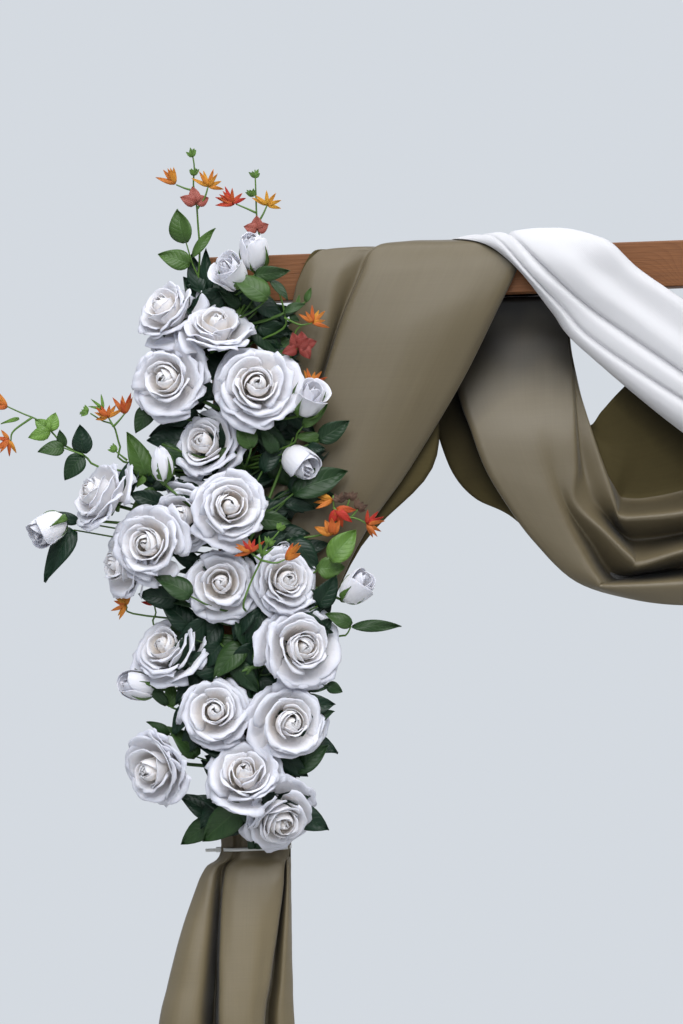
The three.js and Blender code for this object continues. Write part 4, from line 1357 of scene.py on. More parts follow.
def petal_places(rise, age, half, taper, u, v, dice):
    """Places on a petal, for u across from -1 to 1 and v from foot to rim."""
    aside = np.abs(u)
    point = dice.uniform(*POINT)
    skew = dice.uniform(-SKEW, SKEW)
    nick = dice.uniform(0, 2 * math.pi)
    nicks = NICKS * age * np.sin(6.5 * u + nick) ** 2
    round_off = ROUND_CORNERS * aside**1.7 + SHARP_CORNERS * aside**5 + nicks
    reach = np.clip(v * (1 - round_off + point * np.exp(-((u / 0.3) ** 2)) * v + skew * u * v), 0, 1.06)
    out = np.interp(np.minimum(reach, 1), FOOT_TO_RIM, rise[:, 0])
    up = np.interp(np.minimum(reach, 1), FOOT_TO_RIM, rise[:, 1])
    past = np.maximum(reach - 1, 0)
    out = out + past * (0.2 + 0.8 * age)
    up = up + past * (1 - age)
    width = FOOT_WIDTH + WIDENING * np.sin(np.clip(v / WIDEST, 0, 1) * math.pi / 2)
    wrap = u * half * width * (1 - taper * v**2)
    wrap = wrap * (1 - RIM_NARROWS * age * v**5)
    out = out * (1 + SIDES_OUT * age * u**2 * v) + (TUCK[0] + TUCK[1] * age) * u * v
    up = up - SIDES_DOWN * age * u**2 * v
    lip = np.maximum(v - LIP, 0) / (1 - LIP)
    roll = (0.3 + 0.7 * aside**1.5) * lip**2 * min(1.0, 0.1 + 1.1 * age)
    out = out + LIP_OUT * roll
    up = up - LIP_DOWN * roll
    rim = v**4 * (0.2 + 0.8 * age)
    shift = [dice.uniform(0, 2 * math.pi) for _ in range(4)]
    long_wave = np.sin(2.6 * u + shift[0]) + 0.5 * np.sin(6.0 * u + shift[1])
    short_wave = np.sin(4.2 * u + shift[2]) + 0.5 * np.sin(10.0 * u + shift[3])
    out = out + RUFFLE_OUT * rim * short_wave
    up = up + RUFFLE_UP * rim * long_wave + FINE_RUFFLE * rim * np.sin(13.0 * u + shift[0])
    lean = math.radians(dice.gauss(0, LEAN[0] + LEAN[1] * age))
    base = rise[0, 1]
    tilted = out * math.cos(lean) - (up - base) * math.sin(lean)
    raised = out * math.sin(lean) + (up - base) * math.cos(lean) + base
    grown = dice.uniform(0.95 - 0.06 * age, 1.04 + 0.02 * age)
    raised = raised + dice.gauss(0, HEIGHT_STRAY)
    return tilted * grown * np.cos(wrap), tilted * grown * np.sin(wrap), raised


def petal(bm, layers, place, rise, age, half, turn, size, dice, taper=0.0):
    """Adds one petal to a bmesh, turned to its place round the rose's axis. taper narrows its rim."""
    made = bmesh.ops.create_grid(bm, x_segments=size[0], y_segments=size[1], size=1)["verts"]
    u = np.array([v.co.x for v in made])
    v = 1 - (1 - np.array([(v.co.y + 1) / 2 for v in made])) ** CROWDING
    xs, ys, zs = petal_places(rise, age, half, taper, u, v, dice)
    spun = place @ Matrix.Rotation(turn, 4, "Z")
    for vert, x, y, z, across, along in zip(made, xs, ys, zs, u, v):
        vert.co = spun @ Vector((x, y, z))
        # Partly painted light: the deep foot of a petal is warmed as if by light bounced between petals.
        deep = min(1.0, max(0.0, WARM_FOOT - WARM_FALL * along))
        vert[layers["warm"]] = min(1.0, deep * (1.0 - WARM_AGES * age) + WARM_HEART * (1 - age) ** 2)
        for loop in vert.link_loops:
            loop[layers["uv"]].uv = (across * 0.5 + 0.5, along)
    return made


def flower_mesh():
    """An empty bmesh with the layers that petals and leaves fill."""
    bm = bmesh.new()
    layers = {"warm": bm.verts.layers.float.new("warm"), "uv": bm.loops.layers.uv.new("own")}
    return bm, layers


print("petal ages:", AGES + 1, "profiles")

# %% [markdown]
# ## One leaf and one stem
# A leaf is a grid too, pinched to a point at its tip, folded a little along its midrib and bent back. A
# stem is a ring of vertices that is extruded from place to place. Both are used for everything green, and
# for the sprigs.

# %% Leaf
BELLY = 0.72  # under 1 a leaf is widest nearer its foot
ROUNDED = 0.85  # under 1 its sides are fuller
FOLD = 0.3  # how far its sides rise from the midrib, in shares of its width there
RIPPLE = 0.05  # and how far it ripples, in shares of its length


def leaf(bm, layers, base, tip, width, face, tone, finish_index=GREEN, bend=0.14, size=(4, 7)):
    """A pointed leaf from base to tip, in metres. face is the way that its upper side looks."""
    run = tip - base
    length = run.length
    ahead = run.normalized()
    side = ahead.cross(face).normalized()
    up = side.cross(ahead)
    made = bmesh.ops.create_grid(bm, x_segments=size[0], y_segments=size[1], size=1)["verts"]
    for vert in made:
        x = vert.co.x
        s = (vert.co.y + 1) / 2
        half = width / 2 * math.sin(math.pi * min(1.0, 0.03 + 0.97 * s) ** BELLY) ** ROUNDED
        rise = abs(x) * half * FOLD - bend * length * s * s + RIPPLE * length * math.sin(5 * s + 2 * x)
        vert.co = base + ahead * (length * s) + side * (half * x) + up * rise
        vert[layers["warm"]] = tone
        for loop in vert.link_loops:
            loop[layers["uv"]].uv = (x * 0.5 + 0.5, s)
            loop.face.material_index = finish_index


print("leaf helper ready")

# %% Stem


def stem(bm, layers, places, thick, thin=None, sides=6, tone=0.3, finish_index=GREEN):
    """A round stem through places in metres, from radius thick to radius thin, closed at both ends."""
    thin = thick if thin is None else thin
    ring = bmesh.ops.create_circle(bm, cap_ends=False, segments=sides, radius=1.0)["verts"]
    unit = [v.co.copy() for v in ring]
    edges = {e for v in ring for e in v.link_edges}
    frame_turn = Vector((0, 0, 1)).rotation_difference(places[1] - places[0])
    heading = (places[1] - places[0]).normalized()
    faces = []
    for i, place in enumerate(places):
        after = places[min(i + 1, len(places) - 1)] - places[max(i - 1, 0)]
        frame_turn = heading.rotation_difference(after) @ frame_turn
        heading = after.normalized()
        if i:
            grown = bmesh.ops.extrude_edge_only(bm, edges=list(edges))["geom"]
            ring = [g for g in grown if isinstance(g, bmesh.types.BMVert)]
            edges = {g for g in grown if isinstance(g, bmesh.types.BMEdge)}
            faces += [g for g in grown if isinstance(g, bmesh.types.BMFace)]
        else:
            first = list(edges)
        radius = thick + (thin - thick) * i / (len(places) - 1)
        for v, corner in zip(ring, unit):
            v.co = place + frame_turn @ (corner * radius)
            v[layers["warm"]] = tone
    for end in (first, list(edges)):
        faces += bmesh.ops.holes_fill(bm, edges=end, sides=0)["faces"]
    for face in faces:
        face.material_index = finish_index


def bent(start, finish_at, sag, steps=6):
    """Places on a stem from start to finish_at that bows by sag, a vector in metres."""
    shares = [i / (steps - 1) for i in range(steps)]
    return [start.lerp(finish_at, s) + sag * (4 * s * (1 - s)) for s in shares]


print("stem helper ready")

# %% [markdown]
# ## Roses and buds
# A bloom has nine rings of petals, thirty in all, each ring turned by the golden angle so that petals never
# line up. A small green cup with sepals holds it from behind. Buds are the same petals, still closed.

# %% One rose
ROSE_RINGS = (
    (0.0, 0.5, 2, 1.60), (0.0, 0.9, 3, 1.40), (0.12, 1, 3, 1.30), (0.24, 1, 3, 1.20), (0.40, 1, 3, 1.25),
    (0.58, 1, 4, 1.10), (0.78, 1, 4, 1.06), (0.97, 1, 5, 0.92), (1.0, 1, 3, 0.80),
)  # age, share of its width, number of petals, half of each petal's angle at its widest
AGE_STRAY = (-0.05, 0.04)
TURN_STRAY = 0.18
SEPALS = 5
SEPAL_FOOT = -0.6  # where the sepals start on the rose's axis, in shares of its radius
CUP_STEPS = (-0.16, 0, 0.12)  # places along the green cup, from there
CUP_THICK = (0.07, 0.17)  # its radius at the lowest and at the highest of them
SEPAL_TIP = (0.34, -0.66)  # how far out and how high the tip of a sepal is
SEPAL_WIDTH = 0.2


def facing(turn, tilt):
    """The way that a flower faces, from its turn towards the arch and its tilt up, in degrees."""
    a = math.radians(turn)
    b = math.radians(tilt)
    return Vector((math.sin(a) * math.cos(b), -math.cos(a) * math.cos(b), math.sin(b)))


def bloom_place(x, y, drop, radius, turn, tilt, spin):
    aim = facing(turn, tilt).to_track_quat("Z", "Y").to_matrix().to_4x4()
    size = Matrix.Scale(radius * MM, 4)
    return Matrix.Translation(spot(x, y, drop)) @ aim @ Matrix.Rotation(spin, 4, "Z") @ size


def calyx(bm, layers, place):
    """The green cup behind a rose, with its sepals."""
    cup = [place @ Vector((0, 0, SEPAL_FOOT + step)) for step in CUP_STEPS]
    size = place.to_scale().x
    stem(bm, layers, cup, CUP_THICK[0] * size, CUP_THICK[1] * size, tone=0.35)
    for i in range(SEPALS):
        spun = place @ Matrix.Rotation(2 * math.pi * i / SEPALS + 0.4, 4, "Z")
        base = spun @ Vector((0.1, 0, SEPAL_FOOT))
        tip = spun @ Vector((SEPAL_TIP[0], 0, SEPAL_TIP[1]))
        outward = (spun @ Vector((1, 0, -0.4)) - spun @ Vector((0, 0, 0))).normalized()
        leaf(bm, layers, base, tip, SEPAL_WIDTH * size, outward, 0.45, size=(2, 5), bend=-0.1)


def petal_grid(age):
    """How many faces a petal has across and along. Old petals are larger and need more."""
    if age < 0.3:
        return (8, 6)
    if age < 0.7:
        return (11, 7)
    return (14, 8)


def rose(bm, layers, spec, dice):
    place = bloom_place(*spec, dice.uniform(0, 2 * math.pi))
    turn = 0.0
    for age, slim, number, half in ROSE_RINGS:
        for i in range(number):
            near = min(1.0, max(0.0, age + dice.uniform(*AGE_STRAY)))
            rise = RISES[round(near * AGES)] * np.array([slim, 1])
            wobble = dice.gauss(0, TURN_STRAY)
            petal(bm, layers, place, rise, near, half, turn + wobble, petal_grid(age), dice)
            turn += 2 * math.pi / number
        turn += GOLDEN
    calyx(bm, layers, place)


print("rose with", sum(ring[2] for ring in ROSE_RINGS), "petals")

# %% One bud
CLOSED_RISE = (
    (0.10, -1.00), (0.44, -0.84), (0.64, -0.42), (0.68, 0.02), (0.57, 0.50), (0.35, 0.90), (0.10, 1.15)
)
OPENING_RISE = (
    (0.12, -0.90), (0.48, -0.76), (0.70, -0.38), (0.76, 0.05), (0.82, 0.42), (0.90, 0.62), (0.96, 0.68)
)
BUD_RINGS = ((0.30, 2, 1.7), (0.58, 2, 1.5), (0.80, 3, 1.35), (1.0, 3, 1.15))  # size, number, half angle
BUD_CREAM = 0.3  # how warm its petals are beside those of an open rose
BUD_AGE = 0.25
BUD_GRID = (10, 7)
BUD_CUP = (-1.22, -1.08, -0.95, -0.84)  # heights of the cup under it, in shares of its radius
BUD_CUP_THICK = (0.10, 0.4)
SEPAL_REACH = 0.7  # how far up the bud a sepal reaches
SEPAL_OPENS = 0.6  # how much of the bud's opening a sepal follows


def sepals_round(bm, layers, place, rise, tone, dice):
    """Narrow green sepals that lie close on the outside of a bud."""
    along = FOOT_TO_RIM * SEPAL_REACH
    close = np.column_stack(
        [np.interp(along, FOOT_TO_RIM, rise[:, 0]) * 1.06 + 0.03, np.interp(along, FOOT_TO_RIM, rise[:, 1])]
    )
    for i in range(SEPALS):
        turn = 2 * math.pi * i / SEPALS + dice.gauss(0, 0.1)
        for vert in petal(bm, layers, place, close, 0.1, 0.36, turn, (4, 8), dice, taper=0.96):
            vert[layers["warm"]] = tone
            for face in vert.link_faces:
                face.material_index = GREEN


def bud(bm, layers, spec, opened, dice):
    place = bloom_place(*spec, dice.uniform(0, 2 * math.pi))
    closed = through(CLOSED_RISE, RISE_STEPS)
    wide = through(OPENING_RISE, RISE_STEPS)
    turn = 0.0
    for share, number, half in BUD_RINGS:
        rise = closed + (wide - closed) * opened * share
        rise = rise * np.array([share, 0.85 + 0.15 * share])
        for i in range(number):
            for vert in petal(bm, layers, place, rise, BUD_AGE, half, turn, BUD_GRID, dice):
                vert[layers["warm"]] *= BUD_CREAM
            turn += 2 * math.pi / number
        turn += GOLDEN / 2
    sepals_round(bm, layers, place, closed + (wide - closed) * SEPAL_OPENS * opened, 0.5, dice)
    cup = [place @ Vector((0, 0, height)) for height in BUD_CUP]
    stem(bm, layers, cup, *(share * spec[3] * MM for share in BUD_CUP_THICK), tone=0.45)


print("bud with", sum(ring[1] for ring in BUD_RINGS), "petals")

# %% Where the blooms are
# Centre x, y and drop, radius, then the way each faces: its turn towards the arch and its tilt up.
ROSES = {
    "crown": ((-86, -70, 68, 44, -45, 38), (-21, -96, 94, 46, 5, 50)),
    "upper": ((-85, -100, 158, 50, -20, 8), (29, -114, 171, 52, 5, 12), (-41, -82, 242, 44, -25, 22)),
    "outer": ((-181, -72, 302, 46, -62, 28), (-116, -112, 368, 48, -20, 8), (-153, -78, 392, 44, -60, 0)),
    "middle": (
        (-11, -126, 324, 48, 8, 12), (-70, -92, 334, 44, -25, 0), (-25, -106, 421, 45, 0, 8),
        (56, -106, 420, 42, 25, 10),
    ),
    "lower": ((73, -110, 506, 53, 22, 2), (-100, -84, 502, 46, -30, 32), (-40, -110, 585, 46, 0, 12)),
    "foot": (
        (54, -110, 603, 51, 18, 5), (-4, -118, 666, 50, 0, 30), (-120, -86, 656, 50, -42, -12),
        (38, -98, 725, 48, 25, -30),
    ),
}
# The same for each bud, and last how far it has opened.
BUDS = {
    "crown": ((1, -92, 25, 25, -35, 35, 0.9), (31, -84, -1, 25, -10, 60, 0.4)),
    "upper": ((95, -106, 190, 27, 30, 40, 1.0),),
    "outer": ((-246, -70, 342, 27, -55, -25, 0.7),),
    "middle": (
        (80, -92, 270, 26, 40, -30, 0.6), (-95, -104, 267, 22, -10, 75, 0.15),
        (146, -96, 432, 25, 50, 35, 0.6), (54, -84, 386, 16, 20, 40, 0.5),
    ),
    "lower": ((-138, -80, 549, 25, -50, 15, 0.4),),
    "foot": (),
}
HUBS = {
    "crown": (0, -78, 90), "upper": (2, -82, 205), "outer": (-4, -96, 346), "middle": (10, -104, 372),
    "lower": (8, -106, 530), "foot": (6, -106, 650),
}  # where the stems of each cluster meet, in front of the main stem
print("blooms:", sum(len(r) for r in ROSES.values()), "buds:", sum(len(b) for b in BUDS.values()))

# %% Six clusters of blooms
SILK_THICK = 0.0005
FIRST_SEED = 40
ROSE_STEM = (0.0024, 0.002)  # its radius where it starts and where it ends
BUD_STEM = (0.0019, 0.0016)
ROSE_BACK = 0.7  # where its stem meets it, in radii behind its middle
BUD_BACK = 1.15
STEM_SAG = Vector((0, 0.012, -0.006))
blooms = []
for order, name in enumerate(ROSES):
    dice = random.Random(FIRST_SEED + order)
    bm, layers = flower_mesh()
    hub = spot(*HUBS[name])
    for spec in ROSES[name]:
        rose(bm, layers, spec, dice)
        back = spot(*spec[:3]) - facing(*spec[4:6]) * (ROSE_BACK * spec[3] * MM)
        stem(bm, layers, bent(hub, back, STEM_SAG), *ROSE_STEM)
    for *spec, opened in BUDS[name]:
        bud(bm, layers, spec, opened, dice)
        back = spot(*spec[:3]) - facing(*spec[4:6]) * (BUD_BACK * spec[3] * MM)
        stem(bm, layers, bent(hub, back, STEM_SAG), *BUD_STEM, tone=0.5)
    made = piece(f"left_{name}_blooms", bm, FLOWER_FINISHES, "petals", [f"left_{name}_roses"])
    body = made.modifiers.new("silk thickness", "SOLIDIFY")
    body.thickness = SILK_THICK
    body.offset = 0
    blooms.append((made, f"right_{name}_roses"))
    print(made.name, len(made.data.polygons), "faces")

# %% [markdown]
# ## Greenery
# Dark leaves are packed between the roses, and light sprigs stand out at the rim of the spray. The leaves
# that show are placed one by one. Many smaller dark ones fill the gaps behind the blooms, thrown by seeded
# dice so that every run gives the same spray.

# %% Main stem
MAIN_STEM = ((-4, -48, 6), (0, -50, 120), (4, -58, 250), (8, -74, 380), (8, -80, 560), (6, -72, 763))
STRANDS = 4
STRAND_RADIUS = 0.0055
STRAND_APART = 1.3  # in strand radii from the middle of the stem
TWIST = 7.0  # how far they turn round each other from top to foot, in radians

main_route = through(MAIN_STEM, 60)
bm, layers = flower_mesh()
for strand in range(STRANDS):
    places = []
    for i, place in enumerate(main_route):
        angle = 2 * math.pi * strand / STRANDS + TWIST * i / len(main_route)
        aside = Vector((math.cos(angle), math.sin(angle), 0)) * STRAND_RADIUS * STRAND_APART
        places.append(spot(*place) + aside)
    stem(bm, layers, places, STRAND_RADIUS, sides=7, tone=0.03)


def on_main(drop):
    """The place on the main stem at a given drop, on its front."""
    row = main_route[np.argmin(np.abs(main_route[:, 2] - drop))]
    return spot(row[0], row[1] - 5, row[2])


print("main stem of", STRANDS, "strands")

# %% [markdown]
# ### Stalks
# Thin stalks reach out of the spray from its main stem, and twigs branch from them. Each is a soft curve
# through a few places in front of the arch, written as x and drop. The places are kept, so that a leaf can
# tell whether a stalk already holds it.

# %% Stalks and twigs
# Each: y of its end, then x and drop of the places along it. A stalk starts on the main stem, and a twig on
# a stalk.
STALKS = (
    (-60, (-32, 51), (-42, 26), (-49, 9), (-56, -18)),
    (-62, (-40, 56), (-39, -9), (-40, -38), (-41, -68), (-44, -93), (-42, -116), (-45, -137)),
    (-68, (42, 9), (39, -19), (36, -48), (36, -77), (36, -108)),
    (-88, (67, 153), (73, 128), (83, 99), (103, 92)),
    (-86, (63, 99), (67, 77), (62, 54), (58, 41)),
    (-92, (86, 188), (94, 180), (98, 171)),
    (-94, (68, 248), (78, 233), (86, 224)),
    (-88, (60, 255), (73, 238)),
    (-60, (-164, 270), (-198, 250), (-223, 236), (-238, 219), (-255, 203), (-274, 194), (-296, 183)),
    (-63, (-140, 263), (-151, 240), (-158, 214), (-172, 207), (-187, 197)),
    (-65, (-106, 314), (-106, 297), (-118, 282), (-114, 248)),
    (-91, (118, 361), (121, 341), (121, 314)),
    (-96, (88, 414), (99, 402), (115, 397)),
    (-89, (117, 495), (131, 493), (138, 482)),
    (-148, (2, 450), (12, 422), (27, 393), (35, 376), (51, 357)),
    (-71, (-107, 476), (-112, 456), (-114, 443)),
    (-66, (-135, 458), (-150, 445)),
)
TWIGS = (
    (-60, (-198, 250), (-223, 240)),
    (-60, (-262, 199), (-287, 216), (-291, 229)),
    (-62, (-45, -85), (-55, -88), (-66, -93)),
    (-65, (-40, -61), (-30, -75), (-25, -89)),
    (-68, (35, -53), (25, -58), (10, -65)),
    (-69, (36, -38), (44, -50), (50, -62)),
    (-87, (72, 130), (82, 124)),
    (-88, (80, 108), (89, 120)),
    (-87, (67, 84), (87, 94), (103, 91)),
    (-65, (-158, 215), (-164, 203)),
    (-65, (-158, 215), (-150, 207), (-143, 199)),
    (-64, (-142, 259), (-156, 247)),
    (-92, (121, 330), (134, 342), (143, 343), (153, 346), (163, 352)),
    (-90, (134, 342), (142, 319)),
    (-90, (143, 343), (152, 333)),
    (-149, (27, 393), (14, 383)),
    (-149, (27, 393), (45, 397), (58, 393)),
)
STALK_THICK = 0.0014
STALK_THIN = 0.0007
STALK_DEEPER = 10  # a stalk starts this many millimetres further back than it ends
STALK_LOWER = 18  # and leaves the main stem this far below its first place
stalk_places = []


def stalk(row, rooted):
    end_y, *knots = row
    start_y = end_y + (STALK_DEEPER if rooted else 0)
    count = len(knots)
    route = []
    for i, (x, drop) in enumerate(knots):
        route.append(spot(x, start_y + (end_y - start_y) * i / (count - 1), drop))
    if rooted:
        route.insert(0, on_main(knots[0][1] + STALK_LOWER))
    smooth = [Vector(place) for place in through(route, 3 * len(route) + 1)]
    stem(bm, layers, smooth, STALK_THICK, STALK_THIN, sides=5, tone=0.65)
    stalk_places.extend(smooth)


for row in STALKS:
    stalk(row, True)
for row in TWIGS:
    stalk(row, False)
print("stalks:", len(STALKS), "twigs:", len(TWIGS))

# %% Leaves placed one by one
# Each: x and drop of its foot, x and drop of its tip, width, y, and its tone from dark 0 to light 1.
LEAVES = (
    (-56, -18, -69, -60, 34, -62, 0.35), (-52, 9, -92, -5, 27, -60, 0.4), (-49, 1, -21, -36, 14, -60, 0.4),
    (47, 59, 2, 26, 34, -104, 0.3), (31, 28, 75, 26, 21, -92, 0.15), (50, 34, 74, 59, 14, -86, 0.1),
    (-40, 53, -51, -4, 24, -52, 0.0), (-32, 51, -32, -9, 18, -48, 0.0), (10, 68, -14, 46, 17, -66, 0.05),
    (67, 77, 93, 66, 14, -86, 0.15), (95, 65, 102, 47, 9, -86, 0.3), (74, 81, 86, 89, 9, -84, 0.1),
    (83, 71, 88, 55, 7, -86, 0.4), (19, 250, 5, 212, 27, -104, 0.3), (86, 224, 118, 197, 17, -96, 0.35),
    (105, 242, 145, 220, 27, -88, 0.05), (77, 237, 126, 241, 14, -90, 0.3),
    (88, 252, 112, 253, 16, -86, 0.0), (70, 310, 140, 280, 38, -92, 0.08),
    (59, 320, 98, 330, 18, -84, 0.0), (50, 257, 33, 225, 20, -90, 0.1), (31, 280, 58, 241, 24, -84, 0.0),
    (-223, 240, -255, 242, 22, -58, 0.2), (-223, 238, -228, 218, 14, -56, 0.15),
    (-198, 248, -201, 212, 27, -58, 0.0), (-200, 250, -224, 281, 27, -58, 0.05),
    (-118, 281, -138, 223, 31, -66, 0.38), (-119, 282, -132, 293, 13, -68, 0.55),
    (-149, 312, -132, 251, 29, -62, 0.0), (-113, 290, -112, 247, 12, -64, 0.0),
    (-108, 298, -139, 321, 19, -66, 0.38), (-109, 192, -130, 223, 26, -70, 0.1),
    (-208, 336, -243, 323, 16, -60, 0.0), (-214, 346, -258, 409, 34, -60, 0.0),
    (-279, 200, -304, 205, 6, -60, 0.75), (115, 398, 148, 358, 33, -98, 0.68),
    (98, 407, 133, 406, 29, -94, 0.42), (96, 455, 122, 418, 30, -90, 0.0),
    (138, 481, 107, 464, 20, -90, 0.25), (139, 483, 202, 482, 16, -88, 0.12),
    (74, 450, 108, 436, 22, -84, 0.0), (-65, 436, -108, 406, 34, -116, 0.12),
    (-102, 575, -140, 526, 16, -76, 0.08), (-97, 578, -96, 542, 18, -74, 0.3),
    (15, 559, -3, 529, 14, -90, 0.3), (75, 557, 105, 559, 15, -88, 0.05),
    (81, 603, 110, 588, 18, -86, 0.05), (61, 666, 101, 632, 27, -88, 0.08),
    (46, 653, 66, 672, 20, -84, 0.0), (-10, 703, -61, 751, 40, -112, 0.12),
    (-6, 707, 9, 735, 23, -110, 0.05), (-101, 613, -126, 594, 16, -70, 0.1),
    (-87, 574, -73, 549, 16, -76, 0.1), (-20, 250, 10, 284, 26, -84, 0.2),
    (-30, 470, -70, 520, 34, -82, 0.0), (30, 470, 62, 446, 26, -88, 0.05),
    (4, 520, -30, 540, 24, -90, 0.1), (20, 216, 70, 262, 30, -84, 0.05),
    (-96, 240, -62, 276, 22, -80, 0.1), (104, 556, 124, 566, 16, -84, 0.1),
    (10, 450, -14, 494, 32, -100, 0.0), (-8, 470, 22, 514, 30, -98, 0.03),
    (14, 500, -18, 540, 32, -98, 0.0), (-14, 522, 16, 562, 28, -96, 0.06),
    (26, 455, 4, 502, 28, -102, 0.0), (-30, 498, -58, 530, 28, -92, 0.0), (28, 58, 64, 84, 27, -72, 0.0),
    (32, 92, 76, 104, 28, -68, 0.02), (38, 66, 74, 108, 25, -64, 0.0), (24, 98, 62, 126, 27, -66, 0.04),
)
HELD = 0.014  # a leaf this near to a stalk needs no stalk of its own
TIP_AHEAD = 5  # its tip is this far in front of its foot, give or take as much as TIP_STRAY
TIP_STRAY = 8
FACE_UP = 0.25  # how much it looks up, and how far that strays
FACE_STRAY = 0.3
LEAF_STEM = (0.0013, 0.0009)
LEAF_STEM_SAG = Vector((0, -0.006, -0.006))
LEAF_STEM_LOWER = 25  # its stem leaves the main stem this far below its foot
FRONT = Vector((0, -1, 0))

dice = random.Random(11)
for foot_x, foot_drop, tip_x, tip_drop, width, y, tone in LEAVES:
    foot = spot(foot_x, y, foot_drop)
    tip = spot(tip_x, y - TIP_AHEAD + dice.uniform(-TIP_STRAY, TIP_STRAY), tip_drop)
    face = (FRONT + Vector((dice.gauss(0, FACE_STRAY), 0, dice.gauss(FACE_UP, FACE_STRAY)))).normalized()
    leaf(bm, layers, foot, tip, width * MM, face, tone, size=(6, 10))
    if min((foot - place).length for place in stalk_places) > HELD:
        root = on_main(foot_drop + LEAF_STEM_LOWER)
        stem(bm, layers, bent(root, foot, LEAF_STEM_SAG, 5), *LEAF_STEM, tone=0.4)
print("leaves placed one by one:", len(LEAVES))

# %% Fill behind the blooms
FILL_LEAVES = 200
FILL_TOP = 40  # the drop of the first of them, and how far down they go on
FILL_RUN = 695
FILL_LENGTH = (38, 60)
FILL_WIDTH = (0.5, 0.62)  # in shares of its length
FILL_DARK = 0.8  # the share of them that is quite dark
FILL_REACH = (
    (30, 40, 24), (100, 95, 66), (240, 130, 95), (360, 185, 100), (460, 120, 105), (600, 120, 90),
    (740, 75, 62),
)  # at a drop, how far they spread to the left and to the right
FILL_WITHIN = 0.68  # the share of that reach in which their feet are
FILL_DEPTH = (-16, 8)  # how far in front of the main stem and behind it they are
FILL_STRAY = 10
FILL_TURN = 60  # how far they point up or down from straight aside, in degrees
FILL_AHEAD = (-0.25, 0.05)
FILL_FACE_STRAY = 0.4
FILL_STEM = (0.0012, 0.0009)
FILL_STEM_SAG = Vector((0, 0.003, -0.005))


def reach_at(drop):
    """How far the fill spreads to the left and right at a drop."""
    drops = [row[0] for row in FILL_REACH]
    return [float(np.interp(drop, drops, [row[side] for row in FILL_REACH])) for side in (1, 2)]


for i in range(FILL_LEAVES):
    drop = FILL_TOP + FILL_RUN * (i + dice.random()) / FILL_LEAVES
    left_reach, right_reach = reach_at(drop)
    side = -1 if i % 2 else 1
    reach = left_reach if side < 0 else right_reach
    middle = main_route[np.argmin(np.abs(main_route[:, 2] - drop))]
    away = side * reach * dice.uniform(0.0, FILL_WITHIN)
    y = middle[1] + dice.uniform(*FILL_DEPTH)
    foot = spot(middle[0] + away, y, drop + dice.uniform(-FILL_STRAY, FILL_STRAY))
    straight = 0 if side > 0 else 180
    angle = math.radians(dice.uniform(straight - FILL_TURN, straight + FILL_TURN))
    length = dice.uniform(*FILL_LENGTH)
    tip = foot + Vector((math.cos(angle), dice.uniform(*FILL_AHEAD), math.sin(angle))) * length * MM
    aside = dice.gauss(0, FILL_FACE_STRAY)
    face = (FRONT + Vector((aside, 0, dice.gauss(0.3, FILL_FACE_STRAY)))).normalized()
    tone = 0.0 if dice.random() < FILL_DARK else dice.uniform(0.05, 0.25)
    leaf(bm, layers, foot, tip, length * dice.uniform(*FILL_WIDTH) * MM, face, tone, size=(4, 7))
    stem(bm, layers, bent(on_main(drop + 20), foot, FILL_STEM_SAG, 4), *FILL_STEM, sides=5, tone=0.2)
print("fill leaves:", FILL_LEAVES)

# %% [markdown]
# ### Tufts
# At the end of each stalk sits a tuft of small leaves: a star of narrow orange and yellow blades, a close
# flame of red ones, blushing leaflets, a trefoil of light green, or tiny buds. All are the same fan of
# blades, so one row of numbers describes each kind.

# %% Tufts
KINDS = {
    "star": (7, 21, 5.5, 80, 0.30, AUTUMN),
    "flame": (5, 25, 6.5, 28, 0.15, AUTUMN),
    "rusty": (4, 24, 11, 55, 0.20, AUTUMN),
    "blush": (3, 22, 16, 72, 0.10, BLUSH),
    "trefoil": (3, 31, 19, 62, 0.10, GREEN),
    "buds": (6, 11, 5, 40, 0.15, GREEN),
    "needles": (3, 24, 4, 26, 0.05, GREEN),
    "dried": (6, 13, 7, 50, 0.30, DRIED),
}  # blades, length, width, half of the fan in degrees, how much the tone varies, and the finish
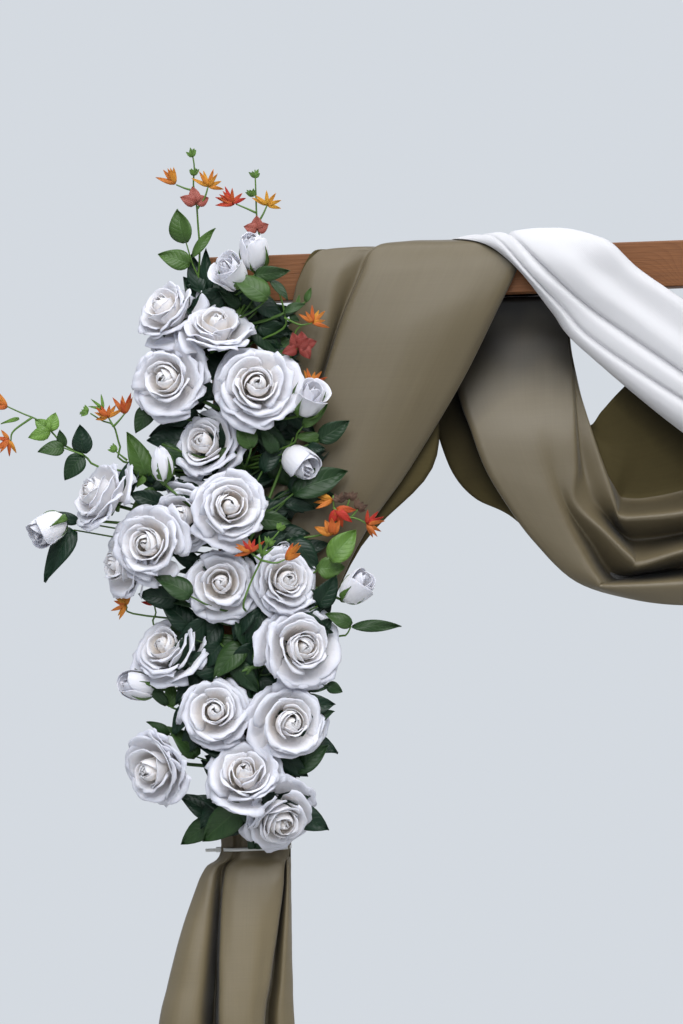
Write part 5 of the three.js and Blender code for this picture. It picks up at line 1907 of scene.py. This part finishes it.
# Each: kind, x, y and drop of its middle, the way it points in degrees from the right, and its tone.
TUFTS = (
    ("flame", -68, -62, -94, 125, 0.55), ("star", -25, -65, -89, 75, 0.75),
    ("blush", -41, -66, -68, 90, 0.3), ("flame", 8, -69, -65, 150, 0.2), ("star", 5, -70, -66, 100, 0.15),
    ("star", 50, -69, -62, 75, 0.85), ("blush", 36, -78, -30, 90, 0.3), ("buds", -44, -62, -128, 95, 0.7),
    ("buds", -43, -63, -104, 90, 0.65), ("buds", 36, -67, -98, 95, 0.6), ("buds", 32, -67, -74, 110, 0.6),
    ("star", 103, -88, 92, 65, 0.5), ("blush", 89, -88, 121, 15, 0.08), ("blush", 82, -87, 124, 110, 0.02),
    ("star", 98, -92, 171, 70, 0.35), ("flame", -143, -65, 199, 90, 0.28),
    ("star", -165, -66, 203, 110, 0.5), ("needles", -170, -64, 192, 135, 0.9),
    ("buds", -190, -62, 195, 165, 0.9), ("star", -293, -60, 227, 215, 0.5),
    ("flame", -294, -60, 185, 150, 0.45), ("trefoil", -240, -60, 218, 135, 0.9),
    ("buds", -156, -64, 247, 130, 0.8), ("star", 163, -93, 352, 0, 0.15),
    ("flame", 120, -91, 320, 180, 0.6), ("rusty", 118, -92, 364, 110, 0.35),
    ("rusty", 124, -92, 332, 300, 0.1), ("star", 14, -151, 382, 115, 0.2),
    ("needles", 27, -150, 388, 60, 0.7), ("buds", 51, -148, 356, 60, 0.75),
    ("buds", 36, -147, 374, 55, 0.7), ("flame", 58, -150, 393, 40, 0.4),
    ("star", -150, -66, 445, 165, 0.55), ("star", -114, -71, 445, 85, 0.05),
    ("dried", 142, -90, 320, 80, 0.5), ("dried", 152, -90, 333, 50, 0.4),
    ("dried", 128, -90, 322, 80, 0.3),
)
LIFT = (-0.1, 0.45)  # how far blades lean to the front
BLADE_STRAY = 7  # degrees by which a blade strays from its even place in the fan
BLADE_LENGTHS = (0.75, 1.12)


def tuft(kind, place, points, tone):
    """A fan of small leaves round one heading."""
    blades, length, width, spread, varies, finish_index = KINDS[kind]
    for i in range(blades):
        angle = math.radians(points + (i / (blades - 1) * 2 - 1) * spread + dice.gauss(0, BLADE_STRAY))
        heading = Vector((math.cos(angle), -dice.uniform(*LIFT), math.sin(angle))).normalized()
        reach = length * dice.uniform(*BLADE_LENGTHS) * MM
        near = min(1.0, max(0.0, tone + dice.uniform(-varies, varies)))
        leaf(bm, layers, place, place + heading * reach, width * MM, FRONT, near, finish_index, size=(3, 5))


for kind, x, y, drop, points, tone in TUFTS:
    tuft(kind, spot(x, y, drop), points, tone)
greenery = piece("left_greenery", bm, FLOWER_FINISHES, "leaves", ["left_foliage"])
body = greenery.modifiers.new("leaf thickness", "SOLIDIFY")
body.thickness = SILK_THICK
body.offset = 0
print("tufts:", len(TUFTS), "faces in the greenery:", len(greenery.data.polygons))

# %% [markdown]
# ## The right side
# The arch was dressed alike on both sides, so the right side is the left one mirrored. A mirror turns every
# face inside out, and the helper turns them back. Copies of the finished meshes keep all attributes, so the
# right cloths carry the same painted shade in their hollows as the left ones.

# %% Right side of the flowers
for made, node in blooms:
    mirrored(made, [node])
mirrored(greenery, ["right_foliage"])
print("flowers mirrored")

# %% Right side of the cloths
right_drape = mirrored(left_drape, ["right_sage_fall", "right_sage_tail"])
right_swag = mirrored(left_swag, ["right_sage_swag"])
print("mirrored:", right_drape.name, right_swag.name)
